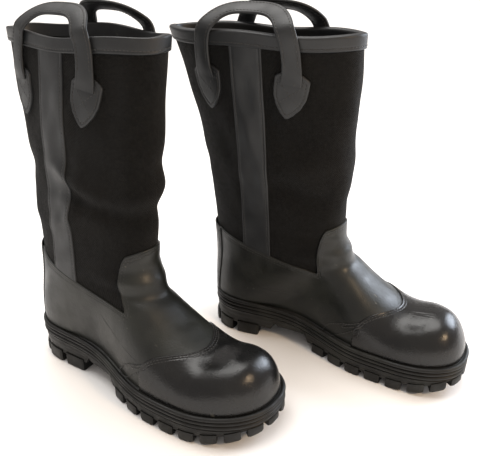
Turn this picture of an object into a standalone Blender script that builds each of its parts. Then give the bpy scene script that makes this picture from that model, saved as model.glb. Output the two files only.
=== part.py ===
"""A pair of tall pull-on fire boots: leather foot, textile shaft, lugged rubber sole, two pull straps each.

A boot is drawn in its own measures: s runs forward from the back of the heel, t runs out to the boot's
outer (lateral) side, and z runs up from the floor. The right boot's toe points along -Y. The left boot is
its mirror image, a step ahead and turned a little outward. Every layer of the upper is a shell between two
offsets of one skin: a foot form and a shaft form melted together.
"""
import math

import bmesh
import bpy
import numpy as np

# Driving dimensions, in metres.
LENGTH = 0.322
RIM_HEIGHT = 0.372
STANCE = 0.166
STRIDE = 0.136
LEFT_TURN = math.radians(6.6)
CENTRING = (-0.01249, -0.02086)

# The sole's outline: half widths from the centre line at stations along s, and its round ends.
CENTRE_S = (0.0, 0.20, 0.25, 0.30, LENGTH)
CENTRE_T = (0.0, 0.0, -0.001, -0.007, -0.0097)
OUTER_S = (0.0, 0.045, 0.112, 0.194, 0.25, LENGTH)
OUTER_HALF = (0.0460, 0.0473, 0.0440, 0.0605, 0.0585, 0.0570)
INNER_S = (0.0, 0.045, 0.128, 0.204, 0.245, LENGTH)
INNER_HALF = (0.0460, 0.0473, 0.0370, 0.0557, 0.0575, 0.0570)
HEEL_ROUND = 0.045
TOE_ROUND = 0.085
ROUNDNESS = 2.3
FEATHER_INSET = 0.0065

# Heights along s: the underside, the top of the outsole, and the feather line where the upper starts.
FEATHER_S = (0.0, 0.09, 0.16, 0.24, LENGTH)
FEATHER_Z = (0.0480, 0.0450, 0.0365, 0.0345, 0.0400)
HEEL_END = 0.090
ARCH_HEIGHT = 0.018
FOREPART_START = 0.142
SPRING_START = 0.238
TOE_SPRING = 0.016
WELT_THICKNESS = 0.0045
MIDSOLE_THICKNESS = 0.0090
LAYER_GAP = 0.0004
WELT_CLEARANCE = 0.0012
UPPER_GAP = 0.0012

# The foot form's ridge line, with the hard toe's bump at its front end.
RIDGE_S = (0.0, 0.06, 0.12, 0.17, 0.215, 0.252, 0.280, 0.300, LENGTH)
RIDGE_Z = (0.100, 0.152, 0.148, 0.122, 0.0890, 0.0752, 0.0862, 0.0935, 0.0880)

# The shaft form: half length, half width and centre at heights from the floor to the rim.
SHAFT_Z = (0.045, 0.10, 0.17, 0.26, RIM_HEIGHT)
SHAFT_HALF_LENGTH = (0.045, 0.078, 0.086, 0.095, 0.110)
SHAFT_HALF_WIDTH = (0.038, 0.040, 0.042, 0.045, 0.045)
SHAFT_CENTRE = (0.046, 0.077, 0.081, 0.080, 0.068)
SHAFT_SQUARENESS = 2.1
LEAN = -0.030
MELT = 7.0

# The rings that wrap the form run from a front point over a core point to a back point.
FRONT = ((0.309, 0.032), (0.313, 0.052), (0.303, 0.072), (0.280, 0.080), (0.248, 0.0755), (0.214, 0.090),
         (0.182, 0.115), (0.163, 0.140), (0.162, 0.175), (0.168, 0.220), (0.172, 0.300), (0.176, RIM_HEIGHT))
CORE = ((0.175, 0.028), (0.176, 0.044), (0.180, 0.052), (0.190, 0.057), (0.185, 0.060), (0.150, 0.068),
        (0.115, 0.085), (0.090, 0.115), (0.080, 0.160), (0.080, 0.210), (0.078, 0.300), (0.070, RIM_HEIGHT))
BACK = ((0.008, 0.040), (0.004, 0.056), (0.002, 0.068), (0.001, 0.080), (0.000, 0.092), (-0.001, 0.106),
        (-0.002, 0.121), (-0.003, 0.141), (-0.004, 0.168), (-0.006, 0.215), (-0.010, 0.300),
        (-0.030, RIM_HEIGHT))
RING_HALF_WIDTH = 0.050
RING_SOFTNESS = 0.25

# Layers of the upper, as offsets from the skin (outer face, inner face).
LEATHER = (0.0, -0.0020)
FABRIC = (-0.0038, -0.0049)
STIFF_LAYER = (-0.0034, -0.0044)
STEEL_LAYER = (-0.0052, -0.0062)
LINING = (-0.0088, -0.0099)
TRIM = (-0.0020, -0.0006)

# Outlines on the upper.
TONGUE_TOP = 0.168
TONGUE_ANGLE = 0.62
NOTCH_ANGLE = 0.86
NOTCH_HEIGHT = 0.106
HEEL_TOPLINE = 0.138
TUCK = 0.012
TOE_COVER_CENTRE = 0.240
TOE_COVER_SIDE = 0.192
HEEL_COVER_ANGLE = 0.62
TOE_CAP_BACK = 0.262
TOE_CAP_COLUMNS = 4
STIFFENER_TOP = 0.084
STIFFENER_COLUMNS = 4
SEAM = 0.0004
MERGE = 1e-6
BINDING_DEPTH = 0.012
BINDING_THICKNESS = 0.0012

# Side strips and pull straps.
STRIP_WIDTH = 0.036
STRIP_TOP_S = 0.070
STRIP_FOOT_S = 0.072
PATCH_TOP = RIM_HEIGHT - 0.034
PATCH_HEIGHT = 0.046
PATCH_HALF_WIDTH = 0.0175
STRAP_WIDTH = 0.019
STRAP_THICKNESS = 0.0042
STRAP_REACH = 0.050
STRAP_RISE = 0.024
STRAP_LEAN = 0.026
STRAP_CLEAR = 0.007
STRAP_SPLAY = 0.22

COLUMNS = 28
LEVELS = np.array((0.0, 0.07, 0.14, 0.20, 0.245, 0.29, 0.36, 0.44, 0.50, 0.56, 0.61, 0.66, 0.71, 0.79, 0.86, 0.93, 1.0))
SOLE_STATIONS = 30


def through(knots, values, at):
    """A smooth curve through a few points, held level past its ends."""
    knots = np.asarray(knots, float)
    values = np.asarray(values, float)
    slopes = np.gradient(values, knots)
    at = np.clip(at, knots[0], knots[-1])
    i = np.clip(np.searchsorted(knots, at) - 1, 0, len(knots) - 2)
    step = knots[i + 1] - knots[i]
    p = (at - knots[i]) / step
    start = (1 + 2 * p) * (1 - p) ** 2 * values[i] + p * (1 - p) ** 2 * step * slopes[i]
    end = p * p * (3 - 2 * p) * values[i + 1] + p * p * (p - 1) * step * slopes[i + 1]
    return start + end


def round_end(distance, radius):
    """How full an outline is at a distance inside its end: 0 at the end, 1 past the radius."""
    short = np.clip(1 - distance / radius, 0.0, 1.0)
    return (1 - short ** ROUNDNESS) ** (1 / ROUNDNESS)


def half_widths(s, inset):
    """The outline's outer and inner half widths, drawn in by an inset all round."""
    ends = round_end(s - inset, HEEL_ROUND - inset) * round_end(LENGTH - inset - s, TOE_ROUND - inset)
    outer = (through(OUTER_S, OUTER_HALF, s) - inset) * ends
    inner = (through(INNER_S, INNER_HALF, s) - inset) * ends
    return outer, inner


def feather_height(s):
    """Where the upper leaves the sole."""
    return through(FEATHER_S, FEATHER_Z, s)


def foot_field(s, t, z):
    """The foot form: 1 on its surface, less inside."""
    across = t - through(CENTRE_S, CENTRE_T, s)
    half = np.where(across > 0, through(OUTER_S, OUTER_HALF, s), through(INNER_S, INNER_HALF, s)) - FEATHER_INSET
    floor = feather_height(s)
    up = np.maximum(z - floor, 0.0) / (through(RIDGE_S, RIDGE_Z, s) - floor)
    toe = 1 - np.minimum((LENGTH - FEATHER_INSET - s) / (TOE_ROUND - FEATHER_INSET), 1.0)
    heel = 1 - np.minimum((s - FEATHER_INSET) / (HEEL_ROUND - FEATHER_INSET), 1.0)
    n = ROUNDNESS
    return ((np.abs(across) / half) ** n + up ** n + toe ** n + heel ** n) ** (1 / n)


def shaft_field(s, t, z):
    """The shaft form: 1 on its surface, less inside."""
    length = through(SHAFT_Z, SHAFT_HALF_LENGTH, z)
    width = through(SHAFT_Z, SHAFT_HALF_WIDTH, z)
    along = np.abs(s - through(SHAFT_Z, SHAFT_CENTRE, z)) / length
    across = np.abs(t - LEAN * (z / RIM_HEIGHT) ** 2) / width
    n = SHAFT_SQUARENESS
    return (along ** n + across ** n) ** (1 / n)


def field(points):
    """Foot and shaft melted together."""
    s, t, z = points[..., 0], points[..., 1], points[..., 2]
    foot = np.maximum(foot_field(s, t, z), 1e-3)
    shaft = np.maximum(shaft_field(s, t, z), 1e-3)
    return (foot ** -MELT + shaft ** -MELT) ** (-1 / MELT)


def outward(points):
    """The skin's unit normal at each point."""
    reach = 2e-4
    gradient = np.zeros_like(points)
    for k in range(3):
        step = np.zeros(3)
        step[k] = reach
        gradient[..., k] = field(points + step) - field(points - step)
    return gradient / np.linalg.norm(gradient, axis=-1, keepdims=True)


def cast(start, direction):
    """Where rays from inside the form reach its skin."""
    near = np.zeros(start.shape[:-1])
    far = np.full(start.shape[:-1], 2.2)
    for _ in range(34):
        middle = (near + far) / 2
        inside = field(start + direction * middle[..., None]) < 1
        near = np.where(inside, middle, near)
        far = np.where(inside, far, middle)
    return start + direction * near[..., None]


def rail(points, v):
    """A profile line through a few (s, z) points, for v from 0 to 1."""
    knots = np.linspace(0, 1, len(points))
    return np.stack([through(knots, [p[k] for p in points], v) for k in (0, 1)], -1)


def skin(u, v, offset=0.0):
    """A point of the skin: u is the angle from the toe round the outer side, v rises from sole to rim."""
    u, v = np.broadcast_arrays(np.asarray(u, float), np.asarray(v, float))
    core = rail(CORE, v)
    front = rail(FRONT, v) - core
    back = rail(BACK, v) - core
    forward = (np.cos(u) + np.sqrt(np.cos(u) ** 2 + RING_SOFTNESS ** 2)) / 2
    rearward = forward - np.cos(u)
    along = forward[..., None] * front + rearward[..., None] * back
    lean = LEAN * (core[..., 1] / RIM_HEIGHT) ** 2
    start = np.stack([core[..., 0], lean, core[..., 1]], -1)
    direction = np.stack([along[..., 0], RING_HALF_WIDTH * np.sin(u), along[..., 1]], -1)
    points = cast(start, direction)
    return points + outward(points) * np.asarray(offset, float)[..., None]


def side_skin(s, z, side, offset=0.0):
    """The skin's point at a place in side view; side is 1 on the outer side and -1 on the inner side."""
    s, z = np.broadcast_arrays(np.asarray(s, float), np.asarray(z, float))
    start = np.stack([s, LEAN * (z / RIM_HEIGHT) ** 2, z], -1)
    direction = np.zeros_like(start)
    direction[..., 1] = side * RING_HALF_WIDTH
    points = cast(start, direction)
    return points + outward(points) * np.asarray(offset, float)[..., None]


def v_where(us, rule, from_top=True):
    """For each angle, the v at which rule(points) changes sign, met from the rim down or the sole up."""
    grid = np.linspace(0, 1, 121)
    values = rule(skin(np.asarray(us)[None, :], grid[:, None]))
    found = np.zeros(len(us))
    for j, value in enumerate(values.T):
        turns = np.nonzero((value[:-1] > 0) != (value[1:] > 0))[0]
        if len(turns):
            i = turns[-1] if from_top else turns[0]
            found[j] = grid[i] + (grid[i + 1] - grid[i]) * value[i] / (value[i] - value[i + 1])
    return found


def topline(u):
    """The leather's top edge as a height: the tongue in front, a notch, then a rise to the heel."""
    angle = abs(math.remainder(u, 2 * math.pi))
    if angle < NOTCH_ANGLE:
        p = min(max((angle - TONGUE_ANGLE * 0.8) / (NOTCH_ANGLE - TONGUE_ANGLE * 0.8), 0.0), 1.0)
        return TONGUE_TOP + (NOTCH_HEIGHT - TONGUE_TOP) * (p * p * (3 - 2 * p))
    p = (angle - NOTCH_ANGLE) / (math.pi - NOTCH_ANGLE)
    return NOTCH_HEIGHT + (HEEL_TOPLINE - NOTCH_HEIGHT) * math.sin(p * math.pi / 2)


def topline_v(us, drop=0.0):
    """The topline on the chart, lowered by a drop."""
    heights = np.array([topline(u) - drop for u in us])
    return v_where(us, lambda p: p[..., 2] - heights)


def toe_edge(points, shift):
    """Positive behind the toe cover's rear edge, which bows back from the toe's crown to the welt."""
    spread = np.clip(np.abs(points[..., 1] - through(CENTRE_S, CENTRE_T, points[..., 0])) / 0.052, 0, 1)
    edge = TOE_COVER_CENTRE + (TOE_COVER_SIDE - TOE_COVER_CENTRE) * spread ** 2
    return edge + shift - points[..., 0]


def shell(columns, low, high, layer, closed=False):
    """A solid between two offsets of the skin, from one edge up to another, on the shared levels.

    Levels outside an edge fold onto it, and the points that meet there are merged later."""
    near = 0.004
    v = np.broadcast_to(LEVELS[:, None], (len(LEVELS), len(columns))).copy()
    v = np.where(v < low + near, low, v)
    v = np.where(v > high - near, high, v)
    u = np.broadcast_to(columns[None, :], v.shape)
    return grid_solid(skin(u, v, np.full(v.shape, layer[0])), skin(u, v, np.full(v.shape, layer[1])), closed)


def grid_solid(outer, inner, closed):
    """A closed solid from two matching grids of points."""
    rows, columns = outer.shape[:2]
    points = np.concatenate([outer.reshape(-1, 3), inner.reshape(-1, 3)])
    half = rows * columns
    faces = []
    last = columns if closed else columns - 1
    for i in range(rows - 1):
        for j in range(last):
            k = (j + 1) % columns
            quad = (i * columns + j, i * columns + k, (i + 1) * columns + k, (i + 1) * columns + j)
            faces.append(quad)
            faces.append(tuple(half + q for q in reversed(quad)))
    for i in (0, rows - 1):
        for j in range(last):
            k = (j + 1) % columns
            faces.append((i * columns + j, half + i * columns + j, half + i * columns + k, i * columns + k))
    if not closed:
        for j in (0, columns - 1):
            for i in range(rows - 1):
                faces.append((i * columns + j, (i + 1) * columns + j,
                              half + (i + 1) * columns + j, half + i * columns + j))
    return points, faces


def ring_solid(sections, closed=True):
    """A solid swept through a list of matching cross-sections."""
    sections = np.asarray(sections, float)
    count, size = sections.shape[:2]
    faces = []
    for i in range(count if closed else count - 1):
        j = (i + 1) % count
        for a in range(size):
            b = (a + 1) % size
            faces.append((i * size + a, i * size + b, j * size + b, j * size + a))
    if not closed:
        faces.append(tuple(range(size)))
        faces.append(tuple(range((count - 1) * size, count * size)))
    return sections.reshape(-1, 3), faces


def plate(inset, bottom, top, first=None, last=None):
    """A plate of the sole's outline, drawn in by an inset, between two height rules."""
    start = inset + 0.0005 if first is None else first
    end = LENGTH - inset - 0.0005 if last is None else last
    bend = (1 - np.cos(np.linspace(0, math.pi, SOLE_STATIONS))) / 2
    stations = start + (end - start) * bend
    if first is None:
        extra = (HEEL_END, HEEL_END + 0.006, FOREPART_START - 0.006, FOREPART_START)
        stations = np.unique(np.concatenate([stations, extra]))
    sections = []
    for s in stations:
        outer, inner = half_widths(s, inset)
        centre = through(CENTRE_S, CENTRE_T, s)
        left, right = centre - inner, centre + outer
        sections.append([(s, left, bottom(s)), (s, right, bottom(s)), (s, right, top(s)), (s, left, top(s))])
    return ring_solid(sections, closed=False)


def underside(s):
    """The outsole's underside: heel block, arch, forepart and toe spring."""
    ramp = 0.006
    rise = np.clip((s - HEEL_END) / ramp, 0, 1) * np.clip((FOREPART_START - s) / ramp, 0, 1)
    spring = np.clip((s - SPRING_START) / (LENGTH - SPRING_START), 0, 1) ** 2 * TOE_SPRING
    return ARCH_HEIGHT * rise + spring


def midsole_top(s):
    return feather_height(s) - WELT_THICKNESS - LAYER_GAP


def midsole_bottom(s):
    return midsole_top(s) - MIDSOLE_THICKNESS


def stack(level, thickness):
    """Height rules for a flat layer inside the upper, a level above the midsole."""
    return (lambda s: midsole_top(s) + level), (lambda s: midsole_top(s) + level + thickness)


def all_round():
    """The angles of the columns that every layer shares, so that the layers' flats stay parallel."""
    return np.arange(COLUMNS) * 2 * math.pi / COLUMNS


def columns_between(first, last):
    """The shared columns between two angles, and the two angles themselves."""
    shared = np.concatenate([all_round() - 2 * math.pi, all_round()])
    inside = shared[(shared > first + 0.03) & (shared < last - 0.03)]
    return np.concatenate([[first], inside, [last]])


def sole_edge(us):
    """The lower edge of the upper, just clear of the midsole."""
    return v_where(us, lambda p: p[..., 2] - midsole_top(p[..., 0]) - UPPER_GAP, from_top=False)


def vamp():
    us = columns_between(-(math.pi - HEEL_COVER_ANGLE), math.pi - HEEL_COVER_ANGLE)
    seam = v_where(us, lambda p: toe_edge(p, -SEAM), from_top=False)
    return shell(us, np.maximum(seam, sole_edge(us)), topline_v(us), LEATHER)


def toe_cover():
    wide = np.linspace(-1.6, 1.6, 161)
    seam = v_where(wide, lambda p: toe_edge(p, 0.0), from_top=False)
    inside = wide[seam > sole_edge(wide) + 0.02]
    us = columns_between(inside[0], inside[-1])
    high = v_where(us, lambda p: toe_edge(p, SEAM), from_top=False)
    low = sole_edge(us)
    return shell(us, low, np.maximum(high, low + 0.012), LEATHER)


def heel_cover():
    reach = HEEL_COVER_ANGLE - 0.012
    us = columns_between(math.pi - reach, math.pi + reach)
    return shell(us, sole_edge(us), topline_v(us), LEATHER)


def safety_toe_cap():
    us = all_round()[:2 * TOE_CAP_COLUMNS + 1] - TOE_CAP_COLUMNS * 2 * math.pi / COLUMNS
    high = v_where(us, lambda p: TOE_CAP_BACK - p[..., 0], from_top=False)
    return shell(us, sole_edge(us) + 0.02, high, STEEL_LAYER)


def heel_stiffener():
    us = all_round()[COLUMNS // 2 - STIFFENER_COLUMNS:COLUMNS // 2 + STIFFENER_COLUMNS + 1]
    high = v_where(us, lambda p: p[..., 2] - STIFFENER_TOP)
    return shell(us, sole_edge(us) + 0.02, high, STIFF_LAYER)


def shaft_fabric():
    us = all_round()
    return shell(us, topline_v(us, TUCK), np.ones(len(us)), FABRIC, closed=True)


def lining():
    us = all_round()
    return shell(us, sole_edge(us) + 0.03, np.ones(len(us)), LINING, closed=True)


def top_binding():
    """A folded strip over the rim: outer leg, bridge and inner leg in one U section."""
    lift = 0.0004
    outer_face, outer_back = TRIM[0] + BINDING_THICKNESS, TRIM[0]
    inner_back = LINING[1] - LAYER_GAP
    inner_face = inner_back - BINDING_THICKNESS
    sections = []
    feet = v_where(all_round(), lambda p: p[..., 2] - (RIM_HEIGHT - BINDING_DEPTH))
    for u, foot in zip(all_round(), feet):
        low = [skin(u, foot, o) for o in (outer_face, inner_face, inner_back, outer_back)]
        high = [skin(u, 1.0, o) for o in (outer_face, inner_face, inner_back, outer_back)]
        crown = np.array((0, 0, lift + BINDING_THICKNESS))
        under = np.array((0, 0, lift))
        sections.append([low[0], high[0] + crown, high[1] + crown, low[1],
                         low[2], high[2] + under, high[3] + under, low[3]])
    return ring_solid(sections)


def side_strip(side):
    """A leather strip over the shaft's side seam, from the topline to the binding."""
    top = RIM_HEIGHT - BINDING_DEPTH - SEAM
    across = np.linspace(-0.5, 0.5, 4) * STRIP_WIDTH
    foot_z = []
    for d in across:
        u = math.acos(np.clip((STRIP_FOOT_S + d - 0.080) / 0.085, -1, 1)) * side
        foot_z.append(topline(u) + 0.002)
    rows = []
    for p in np.linspace(0, 1, 8):
        z = np.array(foot_z) * (1 - p) + top * p
        s = STRIP_FOOT_S * (1 - p) + STRIP_TOP_S * p + across
        rows.append((s, z))
    s = np.array([r[0] for r in rows])
    z = np.array([r[1] for r in rows])
    return grid_solid(side_skin(s, z, side, TRIM[1] + 0 * s), side_skin(s, z, side, TRIM[0] + 0 * s), False)


def patch_outline():
    """A shield: straight top with small shoulders, sides curving to a point."""
    w, h = PATCH_HALF_WIDTH, PATCH_HEIGHT
    right = [(0.55 * w, 0.0), (0.98 * w, -0.10 * h), (w, -0.40 * h), (0.72 * w, -0.72 * h), (0.25 * w, -0.97 * h)]
    return right + [(-d, z) for d, z in reversed(right)]


def strap_s(end):
    """Where a strap's end lies along the boot: end is 1 at the front and -1 at the back."""
    return STRIP_TOP_S + end * STRAP_REACH


def pull_patch(side, end):
    """A shield of leather sewn to the shaft, which holds one end of a pull strap."""
    outline = patch_outline()
    s = strap_s(end) + np.array([0.0] + [d for d, _ in outline])
    z = PATCH_TOP + np.array([-0.45 * PATCH_HEIGHT] + [h for _, h in outline])
    outer = side_skin(s, z, side, TRIM[1] + 0 * s)
    inner = side_skin(s, z, side, TRIM[0] + 0 * s)
    count = len(outline)
    faces = []
    for i in range(count):
        a, b = 1 + i, 1 + (i + 1) % count
        faces.append((0, a, b))
        faces.append((count + 1, count + 1 + b, count + 1 + a))
        faces.append((a, count + 1 + a, count + 1 + b, b))
    return np.concatenate([outer, inner]), faces


def strap_axis(side):
    """A point on the strap's bending line, level with the shields' tops, and the strap's foot ends."""
    stand = TRIM[1] + 0.0005 + STRAP_THICKNESS / 2
    ends = [side_skin(strap_s(e), PATCH_TOP + 0.003, side, stand) for e in (1, -1)]
    outermost = max((abs(p[1]) for p in ends))
    return ends, side * outermost


def pull_strap(side):
    """A flat loop: up from the front shield, over the rim with a lean inward, down to the rear shield."""
    ends, _ = strap_axis(side)
    front, back = ends
    rim_t = [side_skin(strap_s(e), RIM_HEIGHT, side, TRIM[1] + 0.0012 + STRAP_THICKNESS / 2) for e in (1, -1)]
    path, crowns = [], []
    for p in np.linspace(0, 1, 21):
        turn = math.pi * p
        s = STRIP_TOP_S + STRAP_REACH * math.copysign(abs(math.cos(turn)) ** 0.62, math.cos(turn))
        rise = math.sin(turn) ** 0.75
        z = PATCH_TOP + 0.003 + (RIM_HEIGHT + STRAP_RISE - PATCH_TOP - 0.003) * rise
        near = front if p < 0.5 else back
        over = rim_t[0] if p < 0.5 else rim_t[1]
        up = min(max((z - near[2]) / (RIM_HEIGHT - near[2]), 0.0), 1.0)
        lean = max(z - RIM_HEIGHT - STRAP_CLEAR, 0.0) / STRAP_RISE
        t = near[1] + (over[1] - near[1]) * up - side * STRAP_LEAN * lean ** 1.2
        path.append((s, t, z))
        crowns.append(min(max(z - RIM_HEIGHT, 0.0) / STRAP_RISE, 1.0))
    return flat_tube(np.array(path), crowns, side)


def flat_tube(path, crowns, side):
    """A flat strip swept along a path: it faces outward at its feet and turns face up towards its crown."""
    sections = []
    for i, point in enumerate(path):
        tangent = path[min(i + 1, len(path) - 1)] - path[max(i - 1, 0)]
        tangent = tangent / np.linalg.norm(tangent)
        splay = STRAP_SPLAY * (point[0] - STRIP_TOP_S) / STRAP_REACH
        facing = np.array((splay, side * (1 - 0.5 * crowns[i]), 0.9 * crowns[i]))
        facing = facing - tangent * facing.dot(tangent)
        facing = facing / np.linalg.norm(facing)
        width = np.cross(tangent, facing)
        corners = ((-0.5, -0.25), (-0.25, -0.5), (0.25, -0.5), (0.5, -0.25),
                   (0.5, 0.25), (0.25, 0.5), (-0.25, 0.5), (-0.5, 0.25))
        sections.append([point + width * STRAP_WIDTH * a + facing * STRAP_THICKNESS * b for a, b in corners])
    return ring_solid(sections, closed=False)


def welt():
    """A rubber ledge round the upper, whose inner wall follows the upper's lean."""
    sections = []
    tops = v_where(all_round(), lambda p: p[..., 2] - feather_height(p[..., 0]), from_top=False)
    for u, v_top in zip(all_round(), tops):
        base = skin(u, 0.0, WELT_CLEARANCE)
        upper = skin(u, v_top + 0.004, WELT_CLEARANCE)
        normal = outward(skin(u, 0.004))
        flat = np.array((normal[0], normal[1], 0.0))
        edge = base + flat / np.linalg.norm(flat) * (FEATHER_INSET - WELT_CLEARANCE)
        bottom = midsole_top(base[0]) + UPPER_GAP
        top = feather_height(base[0])
        sections.append([(base[0], base[1], bottom), (edge[0], edge[1], bottom),
                         (edge[0], edge[1], top), (upper[0], upper[1], top)])
    return ring_solid(sections)


def midsole():
    return plate(0.0004, midsole_bottom, midsole_top)


def outsole():
    return plate(0.0, underside, lambda s: midsole_bottom(s) - LAYER_GAP)


def tread_notches():
    """Boxes that cut the lugs: across the forepart's edges, the heel's edges and the heel's middle."""
    depth, width, height = 0.011, 0.0075, 0.0085
    boxes = []
    for s in (0.030, 0.058, 0.162, 0.184, 0.206, 0.228, 0.250, 0.272):
        outer, inner = half_widths(s, 0.0)
        centre = through(CENTRE_S, CENTRE_T, s)
        lift = float(underside(s))
        for edge in (centre + outer, centre - inner):
            boxes.append(((s - width / 2, edge - depth, lift - 0.004), (s + width / 2, edge + depth, lift + height)))
    for s in (0.173, 0.195, 0.217, 0.239):
        lift = float(underside(s))
        centre = through(CENTRE_S, CENTRE_T, s)
        boxes.append(((s - 0.002, centre - 0.030, lift - 0.004), (s + 0.002, centre + 0.030, lift + 0.004)))
    points, faces = [], []
    for low, high in boxes:
        base = len(points)
        points += [(x, y, z) for z in (low[2], high[2]) for x, y in
                   ((low[0], low[1]), (high[0], low[1]), (high[0], high[1]), (low[0], high[1]))]
        faces += [tuple(base + k for k in f) for f in
                  ((3, 2, 1, 0), (4, 5, 6, 7), (0, 1, 5, 4), (1, 2, 6, 5), (2, 3, 7, 6), (3, 0, 4, 7))]
    return np.array(points), faces


def shank():
    low, high = stack(0.0004, 0.0014)
    sections = [[(s, -0.007, low(s)), (s, 0.007, low(s)), (s, 0.007, high(s)), (s, -0.007, high(s))]
                for s in np.linspace(0.06, 0.175, 9)]
    return ring_solid(sections, closed=False)


def inner_plate(level, thickness, inset):
    low, high = stack(level, thickness)
    return plate(inset, low, high)


MATERIALS = {
    "leather": ((0.035, 0.037, 0.035), 0.45, 0.0),
    "grained_leather": ((0.030, 0.031, 0.030), 0.30, 0.0),
    "trim_leather": ((0.055, 0.058, 0.060), 0.50, 0.0),
    "shaft_textile": ((0.022, 0.021, 0.020), 0.90, 0.0),
    "lining_textile": ((0.060, 0.058, 0.045), 0.95, 0.0),
    "sole_rubber": ((0.020, 0.020, 0.021), 0.55, 0.0),
    "steel": ((0.55, 0.56, 0.58), 0.35, 1.0),
    "fibreboard": ((0.30, 0.22, 0.14), 0.85, 0.0),
    "foam": ((0.10, 0.10, 0.11), 0.90, 0.0),
}

PIECES = {
    "outsole": (outsole, "sole_rubber"),
    "midsole": (midsole, "sole_rubber"),
    "welt": (welt, "sole_rubber"),
    "shank": (shank, "steel"),
    "puncture_plate": (lambda: inner_plate(0.0022, 0.0010, 0.0185), "steel"),
    "insole_board": (lambda: inner_plate(0.0036, 0.0020, 0.0185), "fibreboard"),
    "footbed": (lambda: inner_plate(0.0060, 0.0050, 0.0190), "foam"),
    "safety_toe_cap": (safety_toe_cap, "steel"),
    "heel_stiffener": (heel_stiffener, "fibreboard"),
    "vamp": (vamp, "leather"),
    "toe_cover": (toe_cover, "grained_leather"),
    "heel_cover": (heel_cover, "leather"),
    "shaft_fabric": (shaft_fabric, "shaft_textile"),
    "lining": (lining, "lining_textile"),
    "top_binding": (top_binding, "trim_leather"),
    "lateral_side_strip": (lambda: side_strip(1), "trim_leather"),
    "medial_side_strip": (lambda: side_strip(-1), "trim_leather"),
    "lateral_front_patch": (lambda: pull_patch(1, 1), "trim_leather"),
    "lateral_rear_patch": (lambda: pull_patch(1, -1), "trim_leather"),
    "medial_front_patch": (lambda: pull_patch(-1, 1), "trim_leather"),
    "medial_rear_patch": (lambda: pull_patch(-1, -1), "trim_leather"),
    "lateral_pull_strap": (lambda: pull_strap(1), "trim_leather"),
    "medial_pull_strap": (lambda: pull_strap(-1), "trim_leather"),
}
STRAP_SIDES = {"lateral_pull_strap": 1, "medial_pull_strap": -1}


def make_material(name):
    colour, roughness, metallic = MATERIALS[name]
    material = bpy.data.materials.new(name)
    material.use_nodes = True
    shader = material.node_tree.nodes["Principled BSDF"]
    shader.inputs["Base Color"].default_value = (*colour, 1.0)
    shader.inputs["Roughness"].default_value = roughness
    shader.inputs["Metallic"].default_value = metallic
    return material


def make_mesh(name, points, faces, hand, origin):
    """A mesh in the boot's own axes: x across, y back, z up, mirrored for the left boot."""
    placed = [(-hand * t - origin[0], -s - origin[1], z - origin[2]) for s, t, z in points.tolist()]
    mesh = bpy.data.meshes.new(name)
    mesh.from_pydata(placed, [], faces)
    work = bmesh.new()
    work.from_mesh(mesh)
    bmesh.ops.remove_doubles(work, verts=work.verts, dist=MERGE)
    bmesh.ops.dissolve_degenerate(work, edges=work.edges, dist=MERGE)
    bmesh.ops.triangulate(work, faces=[f for f in work.faces if len(f.verts) > 4])
    bmesh.ops.recalc_face_normals(work, faces=work.faces)
    work.to_mesh(mesh)
    work.free()
    mesh.shade_smooth()
    mesh.set_sharp_from_angle(angle=math.radians(35))
    return mesh


def make_boot(prefix, hand, frame, materials):
    """All the pieces of one boot, parented to its frame."""
    for name, (build, material) in PIECES.items():
        points, faces = build()
        origin = (0.0, 0.0, 0.0)
        if name in STRAP_SIDES:
            _, t = strap_axis(STRAP_SIDES[name])
            origin = (-hand * t, -STRIP_TOP_S, PATCH_TOP)
        mesh = make_mesh(prefix + name, points, faces, hand, origin)
        mesh.materials.append(materials[material])
        piece = bpy.data.objects.new(prefix + name, mesh)
        piece.location = origin
        piece.parent = frame
        bpy.context.scene.collection.objects.link(piece)
        if name == "outsole":
            cut_tread(piece, prefix, hand, frame)


def cut_tread(sole, prefix, hand, frame):
    points, faces = tread_notches()
    cutter = bpy.data.objects.new(prefix + "tread_cutter", make_mesh("cutter", points, faces, hand, (0, 0, 0)))
    cutter.parent = frame
    cutter.hide_render = True
    cutter.display_type = "WIRE"
    bpy.context.scene.collection.objects.link(cutter)
    cut = sole.modifiers.new("tread", "BOOLEAN")
    cut.operation = "DIFFERENCE"
    cut.solver = "EXACT"
    cut.object = cutter


def make_frame(name, x, y, turn):
    frame = bpy.data.objects.new(name, None)
    frame.location = (x, y, 0.0)
    frame.rotation_euler = (0.0, 0.0, turn)
    bpy.context.scene.collection.objects.link(frame)
    return frame


def main():
    for item in list(bpy.data.objects):
        bpy.data.objects.remove(item)
    materials = {name: make_material(name) for name in MATERIALS}
    x, y = CENTRING
    right = make_frame("right_frame", x - STANCE / 2, y + (LENGTH + STRIDE) / 2, 0.0)
    left = make_frame("left_frame", x + STANCE / 2, y + (LENGTH - STRIDE) / 2, LEFT_TURN)
    make_boot("right_", 1, right, materials)
    make_boot("left_", -1, left, materials)


main()
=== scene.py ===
"""Looks of a pair of tall pull-on fire boots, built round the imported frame.

A boot is drawn in the part's own measures: s runs forward from the back of the heel, t runs out to the
boot's outer (lateral) side, and z runs up from the floor. The left boot is the right one's mirror image.
Every panel of the upper hugs one charted skin, a foot form and a shaft form melted together.
"""
import math

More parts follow.
